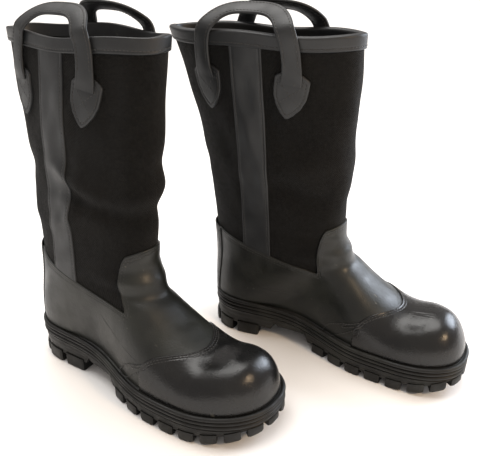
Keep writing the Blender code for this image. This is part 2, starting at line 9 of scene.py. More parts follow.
import bmesh
import bpy
import numpy as np
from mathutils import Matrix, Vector


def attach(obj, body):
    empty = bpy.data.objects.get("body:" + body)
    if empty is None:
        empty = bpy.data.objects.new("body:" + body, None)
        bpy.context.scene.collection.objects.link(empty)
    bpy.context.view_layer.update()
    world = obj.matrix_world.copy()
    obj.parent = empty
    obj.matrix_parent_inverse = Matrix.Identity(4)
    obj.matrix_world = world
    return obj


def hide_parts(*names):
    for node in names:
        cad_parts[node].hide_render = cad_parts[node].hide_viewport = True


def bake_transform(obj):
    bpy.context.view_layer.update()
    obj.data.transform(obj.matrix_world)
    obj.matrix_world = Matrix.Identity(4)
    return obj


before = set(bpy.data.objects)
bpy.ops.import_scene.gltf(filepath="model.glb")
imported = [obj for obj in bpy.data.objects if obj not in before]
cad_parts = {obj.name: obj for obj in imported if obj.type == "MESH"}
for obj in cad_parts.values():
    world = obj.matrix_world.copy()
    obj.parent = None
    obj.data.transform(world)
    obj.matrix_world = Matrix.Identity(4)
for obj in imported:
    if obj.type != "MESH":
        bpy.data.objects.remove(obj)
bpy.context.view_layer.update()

# The part's driving dimensions, in metres.
LENGTH = 0.322
RIM_HEIGHT = 0.372
STANCE = 0.166
STRIDE = 0.136
LEFT_TURN = math.radians(6.6)
CENTRING = (-0.01249, -0.02086)

CENTRE_S = (0.0, 0.20, 0.25, 0.30, LENGTH)
CENTRE_T = (0.0, 0.0, -0.001, -0.007, -0.0097)
OUTER_S = (0.0, 0.045, 0.112, 0.194, 0.25, LENGTH)
OUTER_HALF = (0.0460, 0.0473, 0.0440, 0.0605, 0.0585, 0.0570)
INNER_S = (0.0, 0.045, 0.128, 0.204, 0.245, LENGTH)
INNER_HALF = (0.0460, 0.0473, 0.0370, 0.0557, 0.0575, 0.0570)
HEEL_ROUND = 0.045
TOE_ROUND = 0.085
ROUNDNESS = 2.3
FEATHER_INSET = 0.0065

FEATHER_S = (0.0, 0.09, 0.16, 0.24, LENGTH)
FEATHER_Z = (0.0480, 0.0450, 0.0365, 0.0345, 0.0400)
HEEL_END = 0.090
ARCH_HEIGHT = 0.018
FOREPART_START = 0.142
SPRING_START = 0.238
TOE_SPRING = 0.016

RIDGE_S = (0.0, 0.06, 0.12, 0.17, 0.215, 0.252, 0.280, 0.300, LENGTH)
RIDGE_Z = (0.100, 0.152, 0.148, 0.122, 0.0890, 0.0752, 0.0862, 0.0935, 0.0880)
SHAFT_Z = (0.045, 0.10, 0.17, 0.26, RIM_HEIGHT)
SHAFT_HALF_LENGTH = (0.045, 0.078, 0.086, 0.095, 0.110)
SHAFT_HALF_WIDTH = (0.038, 0.040, 0.042, 0.045, 0.045)
SHAFT_CENTRE = (0.046, 0.077, 0.081, 0.080, 0.068)
SHAFT_SQUARENESS = 2.1
LEAN = -0.030
MELT = 7.0

FRONT = ((0.309, 0.032), (0.313, 0.052), (0.303, 0.072), (0.280, 0.080), (0.248, 0.0755), (0.214, 0.090),
         (0.182, 0.115), (0.163, 0.140), (0.162, 0.175), (0.168, 0.220), (0.172, 0.300), (0.176, RIM_HEIGHT))
CORE = ((0.175, 0.028), (0.176, 0.044), (0.180, 0.052), (0.190, 0.057), (0.185, 0.060), (0.150, 0.068),
        (0.115, 0.085), (0.090, 0.115), (0.080, 0.160), (0.080, 0.210), (0.078, 0.300), (0.070, RIM_HEIGHT))
BACK = ((0.008, 0.040), (0.004, 0.056), (0.002, 0.068), (0.001, 0.080), (0.000, 0.092), (-0.001, 0.106),
        (-0.002, 0.121), (-0.003, 0.141), (-0.004, 0.168), (-0.006, 0.215), (-0.010, 0.300),
        (-0.030, RIM_HEIGHT))
RING_HALF_WIDTH = 0.050
RING_SOFTNESS = 0.25

TONGUE_TOP = 0.168
TONGUE_ANGLE = 0.62
NOTCH_ANGLE = 0.86
NOTCH_HEIGHT = 0.106
HEEL_TOPLINE = 0.138
TOE_COVER_CENTRE = 0.240
TOE_COVER_SIDE = 0.192
HEEL_COVER_ANGLE = 0.62
BINDING_DEPTH = 0.012
STRIP_WIDTH = 0.036
STRIP_TOP_S = 0.070
STRIP_FOOT_S = 0.072
PATCH_TOP = RIM_HEIGHT - 0.034
PATCH_HEIGHT = 0.046
PATCH_HALF_WIDTH = 0.0175
STRAP_WIDTH = 0.019
STRAP_THICKNESS = 0.0042
STRAP_REACH = 0.050
STRAP_RISE = 0.024
STRAP_LEAN = 0.026
STRAP_CLEAR = 0.007
STRAP_SPLAY = 0.22

# Visible layers, as offsets from the skin (outer face, inner face).
LEATHER = (0.0, -0.0020)
TOE_LAYER = (0.0016, 0.0001)
HEEL_LAYER = (0.0013, 0.0001)
CLOTH = (-0.0022, -0.0036)
LINING = (-0.0045, -0.0060)
TRIM = (-0.0005, -0.0024)
EDGE_RADIUS = 0.0012

# Stitching.
STITCH_PITCH = 0.0036
STITCH_LENGTH = 0.0027
THREAD_RADIUS = 0.00042
FIRST_ROW = 0.0030
SECOND_ROW = 0.0062

# Soft folds: height, slant, width, depth, middle angle from the toe, spread of angle.
SHAFT_FOLDS = {
    "right_": ((0.214, 0.010, 0.012, -0.0046, 0.9, 1.3), (0.236, 0.012, 0.010, 0.0034, 1.2, 1.3),
               (0.190, -0.012, 0.009, 0.0030, 1.6, 1.1), (0.262, -0.010, 0.013, -0.0020, -0.6, 1.2),
               (0.204, 0.008, 0.010, -0.0040, -1.2, 1.0), (0.222, 0.008, 0.011, 0.0032, -1.0, 1.2),
               (0.232, -0.015, 0.013, -0.0034, 2.9, 0.9)),
    "left_": ((0.205, -0.010, 0.014, -0.0026, -0.6, 1.2), (0.232, 0.012, 0.014, 0.0022, -1.0, 1.2),
              (0.262, -0.014, 0.018, -0.0018, 0.4, 1.3), (0.215, 0.010, 0.012, -0.0022, 2.7, 1.0)),
}
FOOT_FOLDS = ((0.132, 0.004, 0.007, 0.0022, 0.1, 0.75), (0.119, 0.006, 0.006, -0.0020, 0.2, 0.8),
              (0.150, -0.004, 0.006, -0.0010, -0.3, 0.6))
RIM_WAVES = {"right_": 0.0022, "left_": 0.0016}

CHART_COLUMNS = 360
CHART_ROWS = 340


# ---------------------------------------------------------------- the boot's form

def through(knots, values, at):
    """A smooth curve through a few points, held level past its ends."""
    knots = np.asarray(knots, float)
    values = np.asarray(values, float)
    slopes = np.gradient(values, knots)
    at = np.clip(at, knots[0], knots[-1])
    i = np.clip(np.searchsorted(knots, at) - 1, 0, len(knots) - 2)
    step = knots[i + 1] - knots[i]
    p = (at - knots[i]) / step
    start = (1 + 2 * p) * (1 - p) ** 2 * values[i] + p * (1 - p) ** 2 * step * slopes[i]
    end = p * p * (3 - 2 * p) * values[i + 1] + p * p * (p - 1) * step * slopes[i + 1]
    return start + end


def round_end(distance, radius):
    """How full an outline is at a distance inside its end: 0 at the end, 1 past the radius."""
    short = np.clip(1 - distance / radius, 0.0, 1.0)
    return (1 - short ** ROUNDNESS) ** (1 / ROUNDNESS)


def feather_height(s):
    """Where the upper leaves the sole."""
    return through(FEATHER_S, FEATHER_Z, s)


def foot_field(s, t, z):
    """The foot form: 1 on its surface, less inside."""
    across = t - through(CENTRE_S, CENTRE_T, s)
    outer, inner = through(OUTER_S, OUTER_HALF, s), through(INNER_S, INNER_HALF, s)
    half = np.where(across > 0, outer, inner) - FEATHER_INSET
    floor = feather_height(s)
    up = np.maximum(z - floor, 0.0) / (through(RIDGE_S, RIDGE_Z, s) - floor)
    toe = 1 - np.minimum((LENGTH - FEATHER_INSET - s) / (TOE_ROUND - FEATHER_INSET), 1.0)
    heel = 1 - np.minimum((s - FEATHER_INSET) / (HEEL_ROUND - FEATHER_INSET), 1.0)
    n = ROUNDNESS
    return ((np.abs(across) / half) ** n + up ** n + toe ** n + heel ** n) ** (1 / n)


def shaft_field(s, t, z):
    """The shaft form: 1 on its surface, less inside."""
    length = through(SHAFT_Z, SHAFT_HALF_LENGTH, z)
    width = through(SHAFT_Z, SHAFT_HALF_WIDTH, z)
    along = np.abs(s - through(SHAFT_Z, SHAFT_CENTRE, z)) / length
    across = np.abs(t - LEAN * (z / RIM_HEIGHT) ** 2) / width
    n = SHAFT_SQUARENESS
    return (along ** n + across ** n) ** (1 / n)


def field(points):
    """Foot and shaft melted together."""
    s, t, z = points[..., 0], points[..., 1], points[..., 2]
    foot = np.maximum(foot_field(s, t, z), 1e-3)
    shaft = np.maximum(shaft_field(s, t, z), 1e-3)
    return (foot ** -MELT + shaft ** -MELT) ** (-1 / MELT)


def outward(points):
    """The skin's unit normal at each point."""
    reach = 2e-4
    gradient = np.zeros_like(points)
    for k in range(3):
        step = np.zeros(3)
        step[k] = reach
        gradient[..., k] = field(points + step) - field(points - step)
    return gradient / np.linalg.norm(gradient, axis=-1, keepdims=True)


def cast(start, direction):
    """Where rays from inside the form reach its skin."""
    near = np.zeros(start.shape[:-1])
    far = np.full(start.shape[:-1], 2.2)
    for _ in range(26):
        middle = (near + far) / 2
        inside = field(start + direction * middle[..., None]) < 1
        near = np.where(inside, middle, near)
        far = np.where(inside, far, middle)
    return start + direction * near[..., None]


def rail(points, v):
    """A profile line through a few (s, z) points, for v from 0 to 1."""
    knots = np.linspace(0, 1, len(points))
    return np.stack([through(knots, [p[k] for p in points], v) for k in (0, 1)], -1)


def make_chart():
    """The skin's points and normals for all angles from the toe round the outer side, and all rises."""
    u = np.arange(CHART_COLUMNS)[None, :] * 2 * math.pi / CHART_COLUMNS
    v = np.linspace(0, 1, CHART_ROWS)[:, None]
    u, v = np.broadcast_arrays(u, v)
    core = rail(CORE, v)
    front = rail(FRONT, v) - core
    back = rail(BACK, v) - core
    forward = (np.cos(u) + np.sqrt(np.cos(u) ** 2 + RING_SOFTNESS ** 2)) / 2
    rearward = forward - np.cos(u)
    along = forward[..., None] * front + rearward[..., None] * back
    lean = LEAN * (core[..., 1] / RIM_HEIGHT) ** 2
    start = np.stack([core[..., 0], lean, core[..., 1]], -1)
    direction = np.stack([along[..., 0], RING_HALF_WIDTH * np.sin(u), along[..., 1]], -1)
    points = cast(start, direction)
    return np.concatenate([points, outward(points)], -1)


CHART = make_chart()


def skin(u, v):
    """The skin's points and normals at any angles and rises, read between the charted ones."""
    u, v = np.broadcast_arrays(np.asarray(u, float), np.asarray(v, float))
    a = np.mod(u, 2 * math.pi) / (2 * math.pi) * CHART_COLUMNS
    b = np.clip(v, 0, 1) * (CHART_ROWS - 1)
    i = np.minimum(b.astype(int), CHART_ROWS - 2)
    j = np.mod(a.astype(int), CHART_COLUMNS)
    k = np.mod(j + 1, CHART_COLUMNS)
    p = (a - np.floor(a))[..., None]
    q = (b - i)[..., None]
    low = CHART[i, j] * (1 - p) + CHART[i, k] * p
    high = CHART[i + 1, j] * (1 - p) + CHART[i + 1, k] * p
    both = low * (1 - q) + high * q
    return both[..., :3], both[..., 3:]


def side_skin(s, z, side):
    """The skin's points and normals at places in side view; side is 1 outside and -1 inside."""
    s, z = np.broadcast_arrays(np.asarray(s, float), np.asarray(z, float))
    start = np.stack([s, LEAN * (z / RIM_HEIGHT) ** 2, z], -1)
    direction = np.zeros_like(start)
    direction[..., 1] = side * RING_HALF_WIDTH
    points = cast(start, direction)
    return points, outward(points)


def folds(points, table):
    """How far soft folds push the skin out, at points of it."""
    z = points[..., 2]
    angle = np.arctan2(points[..., 1] - LEAN * (z / RIM_HEIGHT) ** 2, points[..., 0] - 0.08)
    push = np.zeros(z.shape)
    for height, slant, width, depth, middle, spread in table:
        away = np.mod(angle - middle + math.pi, 2 * math.pi) - math.pi
        bell = np.exp(-((z - height - slant * np.sin(2 * away)) / width) ** 2)
        push += depth * bell * np.exp(-(away / spread) ** 2)
    return push


def crumple(points, boot):
    """Fine uneven swells of a sewn shaft, fading out at the leather and the rim."""
    z = points[..., 2]
    angle = np.arctan2(points[..., 1] - LEAN * (z / RIM_HEIGHT) ** 2, points[..., 0] - 0.08)
    turn = 0.7 if boot == "left_" else 0.0
    waves = (np.sin(5 * angle + 38 * z + turn) + np.sin(9 * angle - 61 * z + 2 * turn + 1.3)
             + 0.8 * np.sin(3 * angle + 95 * z + 0.4) + 0.6 * np.sin(14 * angle + 73 * z + turn))
    fade = np.clip((z - 0.150) / 0.05, 0, 1) * np.clip((RIM_HEIGHT - z) / 0.06, 0, 1)
    return 0.00045 * waves * fade


def settle(points, normals, offset, boot):
    """Points lifted off the skin by an offset, with the boot's folds and its rim's waves."""
    push = folds(points, SHAFT_FOLDS[boot]) + folds(points, FOOT_FOLDS) + crumple(points, boot)
    placed = points + normals * (np.asarray(offset, float) + push)[..., None]
    high = np.clip((points[..., 2] - 0.31) / (RIM_HEIGHT - 0.31), 0, 1) ** 2
    side = np.tanh((points[..., 1] - LEAN) / 0.015)
    placed[..., 2] += RIM_WAVES[boot] * high * np.sin(46 * points[..., 0] + 1.2 * side)
    return placed


# ---------------------------------------------------------------- meshes

BOOTS = {
    "right_": (1, CENTRING[0] - STANCE / 2, CENTRING[1] + (LENGTH + STRIDE) / 2, 0.0),
    "left_": (-1, CENTRING[0] + STANCE / 2, CENTRING[1] + (LENGTH - STRIDE) / 2, LEFT_TURN),
}


def to_row(points, boot):
    """Boot measures to the row's frame."""
    hand, x, y, turn = BOOTS[boot]
    across = -hand * points[..., 1]
    ahead = -points[..., 0]
    return np.stack([x + across * math.cos(turn) - ahead * math.sin(turn),
                     y + across * math.sin(turn) + ahead * math.cos(turn), points[..., 2]], -1)


def make(name, points, faces, boot, material, slot, flat=None):
    """An object of the row from boot measures; flat gives each vertex its place on the uncut cloth."""
    mesh = bpy.data.meshes.new(name)
    mesh.from_pydata(to_row(np.asarray(points), boot).tolist(), [], faces)
    if flat is not None:
        layer = mesh.uv_layers.new(name="flat")
        loops = np.zeros(len(mesh.loops), int)
        mesh.loops.foreach_get("vertex_index", loops)
        layer.data.foreach_set("uv", np.asarray(flat)[loops].ravel())
    work = bmesh.new()
    work.from_mesh(mesh)
    bmesh.ops.remove_doubles(work, verts=work.verts, dist=1e-7)
    bmesh.ops.recalc_face_normals(work, faces=work.faces)
    work.to_mesh(mesh)
    work.free()
    mesh.shade_smooth()
    mesh.set_sharp_from_angle(angle=math.radians(50))
    mesh.materials.append(material)
    piece = bpy.data.objects.new(name, mesh)
    bpy.context.scene.collection.objects.link(piece)
    return piece


def grid_quads(rows, columns, start=0, closed=False):
    """Quads over a grid of vertices."""
    last = columns if closed else columns - 1
    i, j = np.meshgrid(np.arange(rows - 1), np.arange(last), indexing="ij")
    k = (j + 1) % columns
    quads = np.stack([i * columns + j, i * columns + k, (i + 1) * columns + k, (i + 1) * columns + j], -1)
    return (quads.reshape(-1, 4) + start).tolist()


def two_sided(outer, inner, closed=False):
    """A closed solid from two matching grids of points."""
    rows, columns = outer.shape[:2]
    half = rows * columns
    faces = grid_quads(rows, columns, 0, closed) + grid_quads(rows, columns, half, closed)
    last = columns if closed else columns - 1
    for i in (0, rows - 1):
        for j in range(last):
            k = (j + 1) % columns
            faces.append((i * columns + j, i * columns + k, half + i * columns + k, half + i * columns + j))
    if not closed:
        for j in (0, columns - 1):
            for i in range(rows - 1):
                a, b = i * columns + j, (i + 1) * columns + j
                faces.append((a, b, half + b, half + a))
    return np.concatenate([outer.reshape(-1, 3), inner.reshape(-1, 3)]), faces


def swept(sections, closed):
    """A solid swept through matching cross-sections, with flat ends when it is open."""
    sections = np.asarray(sections, float)
    count, size = sections.shape[:2]
    joined = sections if not closed else np.concatenate([sections, sections[:1]])
    i, a = np.meshgrid(np.arange(len(joined) - 1), np.arange(size), indexing="ij")
    b = (a + 1) % size
    j = (i + 1) % count
    faces = np.stack([i * size + a, i * size + b, j * size + b, j * size + a], -1).reshape(-1, 4).tolist()
    if not closed:
        faces.append(tuple(range(size)))
        faces.append(tuple(range((count - 1) * size, count * size)))
    return sections.reshape(-1, 3), faces


def rounded(distance, radius):
    """How far a rounded border sinks, at a distance from its edge."""
    short = np.clip(1 - distance / radius, 0, 1)
    return radius * (1 - np.sqrt(np.maximum(1 - short ** 2, 0)))


def stitch_dents(distance, rows):
    """The shallow channels that rows of stitches pull into leather."""
    return sum((0.00035 * np.exp(-((distance - row) / 0.0009) ** 2) for row in rows), 0 * distance)


def edge_steps(length):
    """Distances across a panel, close together at its two borders."""
    border = [0, 0.08, 0.25, 0.5, 0.75, 1.0, 1.5, 2.1]
    near = [EDGE_RADIUS * b for b in border] + [0.0030 + 0.0008 * k for k in range(6)]
    near = np.array(near) / length
    middle = np.linspace(near[-1], 1 - near[-1], int(length / 0.0019))[1:-1]
    return np.concatenate([near, middle, 1 - near[::-1]])


def panel(us, low, high, layer, boot, top_rows=(), low_rows=(), side_rows=(), closed=False):
    """A panel of the upper with rounded borders and stitch channels, and its flat map."""
    ends = [skin(us, low)[0], skin(us, high)[0]]
    tall = max(0.03, float(np.percentile(np.linalg.norm(ends[1] - ends[0], axis=-1), 80)) * 1.1)
    p = edge_steps(tall)[:, None]
    v = low + (high - low) * p
    u = np.broadcast_to(us, v.shape)
    points, normals = skin(u, v)
    rise = np.linalg.norm(np.diff(points, axis=0), axis=-1)
    climb = np.concatenate([np.zeros((1, len(us))), np.cumsum(rise, 0)])
    below, above = climb, climb[-1] - climb
    run = np.linalg.norm(np.diff(points, axis=1), axis=-1)
    walk = np.concatenate([np.zeros((len(p), 1)), np.cumsum(run, 1)], 1)
    sink = np.maximum(rounded(below, EDGE_RADIUS), rounded(above, EDGE_RADIUS))
    sink += stitch_dents(above, top_rows) + stitch_dents(below, low_rows)
    if not closed:
        beside = np.minimum(walk, walk[:, -1:] - walk)
        sink = np.maximum(sink, rounded(beside, EDGE_RADIUS)) + stitch_dents(beside, side_rows)
    thickness = layer[0] - layer[1]
    outer = settle(points, normals, layer[0] - np.minimum(sink, thickness * 0.9), boot)
    inner = settle(points, normals, np.full(v.shape, layer[1]), boot)
    vertices, faces = two_sided(outer, inner, closed)
    flat = np.stack([np.median(walk, 0)[None, :] + 0 * climb, points[..., 2]], -1).reshape(-1, 2)
    return vertices, faces, np.concatenate([flat, flat])


def v_where(us, rule, from_top=True):
    """For each angle, the v at which rule(points) changes sign, met from the rim down or the sole up."""
    grid = np.linspace(0, 1, 241)
    values = rule(skin(np.asarray(us)[None, :], grid[:, None])[0])
    found = np.zeros(len(us))
    for j, value in enumerate(values.T):
        turns = np.nonzero((value[:-1] > 0) != (value[1:] > 0))[0]
        if len(turns):
            i = turns[-1] if from_top else turns[0]
            found[j] = grid[i] + (grid[i + 1] - grid[i]) * value[i] / (value[i] - value[i + 1])
    return found


def topline(u):
    """The leather's top edge as a height: the round-topped tongue, a round notch, a rise to the heel."""
    angle = abs(math.remainder(u, 2 * math.pi))
    if angle < NOTCH_ANGLE:
        start = TONGUE_ANGLE * 0.8
        p = min(max((angle - start) / (NOTCH_ANGLE - start), 0.0), 1.0)
        crown = 0.005 * (angle / start) ** 2 if angle < start else 0.005
        return TONGUE_TOP - crown + (NOTCH_HEIGHT - TONGUE_TOP + 0.005) * (p * p * (3 - 2 * p))
    p = (angle - NOTCH_ANGLE) / (math.pi - NOTCH_ANGLE)
    return NOTCH_HEIGHT + (HEEL_TOPLINE - NOTCH_HEIGHT) * math.sin(p * math.pi / 2)


def topline_v(us, drop=0.0):
    """The topline on the chart, lowered by a drop."""
    heights = np.array([topline(u) - drop for u in us])
    return v_where(us, lambda p: p[..., 2] - heights)


def toe_edge(points, shift):
    """Positive behind the toe cover's rear edge, which bows back from the toe's crown to the welt."""
    spread = np.clip(np.abs(points[..., 1] - through(CENTRE_S, CENTRE_T, points[..., 0])) / 0.052, 0, 1)
    edge = TOE_COVER_CENTRE + (TOE_COVER_SIDE - TOE_COVER_CENTRE) * spread ** 2
    return edge + shift - points[..., 0]


def sole_edge(us):
    """The lower edge of the upper, a little below the feather line."""
    return v_where(us, lambda p: p[..., 2] - feather_height(p[..., 0]) + 0.003, from_top=False)


# ---------------------------------------------------------------- stitching

def shifted(us, vs, distance):
    """A line on the skin moved sideways within the surface, to its left as it runs."""
    points, normals = skin(us, vs)
    along = np.gradient(points, axis=0)
    along /= np.linalg.norm(along, axis=-1, keepdims=True) + 1e-12
    move = np.cross(normals, along) * distance
    step = 1e-3
    across_u = (skin(us + step, vs)[0] - skin(us - step, vs)[0]) / (2 * step)
    across_v = (skin(us, vs + step)[0] - skin(us, vs - step)[0]) / (2 * step)
    a, b, c = (across_u ** 2).sum(-1), (across_u * across_v).sum(-1), (across_v ** 2).sum(-1)
    e, f = (across_u * move).sum(-1), (across_v * move).sum(-1)
    spread = a * c - b * b + 1e-18
    return us + (e * c - f * b) / spread, np.clip(vs + (a * f - b * e) / spread, 0, 1)


def stitches(lines):
    """Short threads laid end to end along (points, normals) lines."""
    vertices, faces = [], []
    sides = 6
    rings = np.array([[-0.5, 0.3], [-0.36, 0.9], [0.0, 1.0], [0.36, 0.9], [0.5, 0.3]])
    turn = np.arange(sides) * 2 * math.pi / sides
    for points, normals in lines:
        reach = np.concatenate([[0], np.cumsum(np.linalg.norm(np.diff(points, axis=0), axis=-1))])
        count = int(reach[-1] / STITCH_PITCH)
        if count < 1:
            continue
        middle = (np.arange(count) + 0.5) * reach[-1] / count

        def at(values, where):
            return np.stack([np.interp(where, reach, values[:, k]) for k in range(3)], -1)

        centre = at(points, middle)
        along = at(points, middle + STITCH_LENGTH / 2) - at(points, middle - STITCH_LENGTH / 2)
        along /= np.linalg.norm(along, axis=-1, keepdims=True)
        up = at(normals, middle)
        up -= along * (up * along).sum(-1, keepdims=True)
        up /= np.linalg.norm(up, axis=-1, keepdims=True)
        across = np.cross(along, up)
        sink = np.abs(rings[:, 0]) * THREAD_RADIUS
        body = (centre[:, None, None]
                + along[:, None, None] * (rings[:, 0] * STITCH_LENGTH)[None, :, None, None]
                + across[:, None, None] * (rings[:, 1:2] * np.cos(turn) * THREAD_RADIUS)[None, :, :, None]
                + up[:, None, None] * (rings[:, 1:2] * np.sin(turn) * THREAD_RADIUS
                                       - sink[:, None])[None, :, :, None])
        for stitch in body:
            base = len(vertices)
            vertices.extend(stitch.reshape(-1, 3))
            faces.extend(grid_closed_quads(len(rings), sides, base))
            faces.append(tuple(base + k for k in range(sides)))
            faces.append(tuple(base + (len(rings) - 1) * sides + k for k in range(sides)))
    return np.array(vertices), faces


def grid_closed_quads(rows, columns, start):
    """Quads round a short tube."""
    return [(start + i * columns + j, start + i * columns + (j + 1) % columns,
             start + (i + 1) * columns + (j + 1) % columns, start + (i + 1) * columns + j)
            for i in range(rows - 1) for j in range(columns)]


def line_on(us, vs, lift, boot):
    """A stitch line on a panel's face."""
    points, normals = skin(us, vs)
    return settle(points, normals, np.full(len(us), lift), boot), normals


def side_line(s, z, side, lift, boot):
    """A stitch line given in side view."""
    points, normals = side_skin(s, z, side)
    return settle(points, normals, np.full(len(points), lift), boot), normals


# ---------------------------------------------------------------- the upper

def vamp(boot):
    reach = math.pi - HEEL_COVER_ANGLE + 0.07
    us = np.linspace(-reach, reach, 520)
    seam = v_where(us, lambda p: toe_edge(p, 0.008), from_top=False)
    low = np.maximum(seam, sole_edge(us))
    return panel(us, low, topline_v(us), LEATHER, boot, top_rows=(FIRST_ROW, SECOND_ROW))


def toe_cover_edge():
    """The angles that the toe cover spans, its lower edge and its rear edge."""
    wide = np.linspace(-1.6, 1.6, 401)
    seam = v_where(wide, lambda p: toe_edge(p, 0.0), from_top=False)
    inside = wide[seam > sole_edge(wide) + 0.012]
    us = np.linspace(inside[0], inside[-1], 420)
    high = v_where(us, lambda p: toe_edge(p, 0.0), from_top=False)
    low = sole_edge(us)
    return us, low, np.maximum(high, low + 0.006)


def toe_cover(boot):
    us, low, high = toe_cover_edge()
    return panel(us, low, high, TOE_LAYER, boot, top_rows=(FIRST_ROW, SECOND_ROW))


def heel_cover(boot):
    us = np.linspace(math.pi - HEEL_COVER_ANGLE, math.pi + HEEL_COVER_ANGLE, 200)
    return panel(us, sole_edge(us), topline_v(us, -0.0006), HEEL_LAYER, boot,
                 top_rows=(FIRST_ROW, SECOND_ROW), side_rows=(FIRST_ROW, SECOND_ROW))


def shaft_cloth(boot):
    us = np.linspace(0, 2 * math.pi, 401)[:-1]
    return panel(us, topline_v(us, 0.012), np.full(len(us), 0.9985), CLOTH, boot, closed=True)


def lining_cloth(boot):
    us = np.linspace(0, 2 * math.pi, 241)[:-1]
    return panel(us, sole_edge(us), np.full(len(us), 0.9985), LINING, boot, closed=True)


def rim_binding(boot):
    """A folded strip over the rim, with rounded folds and one row of stitches on its outer leg."""
    us = np.linspace(0, 2 * math.pi, 361)[:-1]
    feet = v_where(us, lambda p: p[..., 2] - (RIM_HEIGHT - BINDING_DEPTH))
    outer_face, outer_back, inner_face = 0.0003, -0.0020, -0.0070
    middle, half = (outer_face + inner_face) / 2, (outer_face - inner_face) / 2
    sections = []
    for turn in np.linspace(0, math.pi, 13):
        crown = np.sin(turn) ** 0.8 * 0.0024
        reach = math.copysign(abs(math.cos(turn)) ** 0.55, math.cos(turn))
        sections.append((1.0, middle + half * reach, crown))
    outer_leg = []
    for p in np.arange(14) / 14:
        d = p * BINDING_DEPTH
        sewn = 0.0003 * math.exp(-((d - FIRST_ROW - 0.0002) / 0.0009) ** 2)
        outer_leg.append((p, outer_face - rounded(np.array(d), 0.0008) - sewn, 0))
    inner_leg = [(1 - p, inner_face, 0) for p in np.linspace(0.1, 1, 8)]
    back = [(0.0, -0.0061, 0), (0.7, -0.0061, 0), (0.7, outer_back, 0), (0.0, outer_back, 0)]
    loops = []
    for share, offset, lift in outer_leg + sections + inner_leg + back:
        points, normals = skin(us, feet + (1 - feet) * share)
        placed = settle(points, normals, np.full(len(us), offset), boot)
        placed[:, 2] += lift
        loops.append(placed)
    vertices, faces = swept(np.stack(loops, 1), closed=True)
    return vertices, faces, feet, us


def strip_line(side, across):
    """A line up the side strip in side view, a distance across from its middle."""
    u = math.acos(np.clip((STRIP_FOOT_S + across - 0.080) / 0.085, -1, 1)) * side
    foot = topline(u) - 0.003
    p = np.linspace(0, 1, 170)
    return (STRIP_FOOT_S * (1 - p) + STRIP_TOP_S * p + across,
            foot * (1 - p) + (RIM_HEIGHT - BINDING_DEPTH + 0.002) * p)


def side_strip(boot, side):
    """A leather strip over the shaft's side seam, from under the topline to under the binding."""
    half = STRIP_WIDTH / 2
    inward = np.array([0, 0.0001, 0.0004, 0.0008, 0.0012, 0.0020, 0.0026, 0.0032, 0.0040, 0.0055])
    middle = np.linspace(inward[-1], 2 * half - inward[-1], 12)[1:-1]
    across = np.concatenate([inward, middle, 2 * half - inward[::-1]]) - half
    lines = [strip_line(side, a) for a in across]
    s = np.stack([line[0] for line in lines], 1)
    z = np.stack([line[1] for line in lines], 1)
    points, normals = side_skin(s, z, side)
    edge = np.broadcast_to(half - np.abs(across), s.shape)
    sink = rounded(edge, 0.0010) + stitch_dents(edge, (FIRST_ROW,))
    outer = settle(points, normals, TRIM[0] - sink, boot)
    inner = settle(points, normals, np.full(s.shape, TRIM[1]), boot)
    return two_sided(outer, inner)


SHIELD_TILT = {(1, 1): -0.16, (1, -1): 0.05, (-1, 1): -0.16, (-1, -1): 0.05}


def shield_outline(count):
    """A shield's border: small shoulders beside the strap, full sides, and a blunt point below."""
    w, h = PATCH_HALF_WIDTH, PATCH_HEIGHT
    corners = [(0.50, 0.02), (0.86, -0.05), (1.0, -0.10), (1.0, -0.30), (0.95, -0.50), (0.72, -0.72),
               (0.36, -0.90), (0.07, -0.99)]
    side = np.array([(x * w, z * h) for x, z in corners])
    loop = np.concatenate([side, side[::-1] * np.array([-1, 1])])
    closed = np.concatenate([loop, loop[:1]])
    reach = np.concatenate([[0], np.cumsum(np.linalg.norm(np.diff(closed, axis=0), axis=-1))])
    where = np.linspace(0, reach[-1], count, endpoint=False)
    return np.stack([np.interp(where, reach, closed[:, k]) for k in (0, 1)], -1)


def shield_place(outline, side, end):
    """Side-view places of shield points, tilted about the strap's foot."""
    tilt = SHIELD_TILT[(side, end)]
    across = outline[:, 0] * math.cos(tilt) - outline[:, 1] * math.sin(tilt)
    rise = outline[:, 0] * math.sin(tilt) + outline[:, 1] * math.cos(tilt)
    return STRIP_TOP_S + end * STRAP_REACH + across, PATCH_TOP + rise


def shield(boot, side, end):
    """A shield of leather sewn to the shaft, crowned, with a rounded and stitched border."""
    border = shield_outline(96)
    middle = np.array([0.0, -0.45 * PATCH_HEIGHT])
    shares = np.array([1.0, 0.995, 0.98, 0.95, 0.91, 0.87, 0.83, 0.79, 0.75, 0.70, 0.55, 0.4, 0.25, 0.12])
    rings = [middle + (border - middle) * share for share in shares]
    s, z = np.stack([np.stack(shield_place(ring, side, end), -1) for ring in rings]).transpose(2, 0, 1)
    points, normals = side_skin(s, z, side)
    depth = (1 - shares)[:, None] * 0.017 + 0 * s
    lift = TRIM[0] + 0.0012 - rounded(depth, 0.0012) - stitch_dents(depth, (FIRST_ROW,))
    outer = settle(points, normals, lift, boot)
    inner = settle(points[:1], normals[:1], np.full((1, 96), TRIM[1]), boot)
    rows = np.concatenate([inner, outer])
    faces = grid_quads(len(rows), 96, 0, closed=True)
    faces.append(tuple(range(95, -1, -1)))
    faces.append(tuple((len(rows) - 1) * 96 + k for k in range(96)))
    return rows.reshape(-1, 3), faces


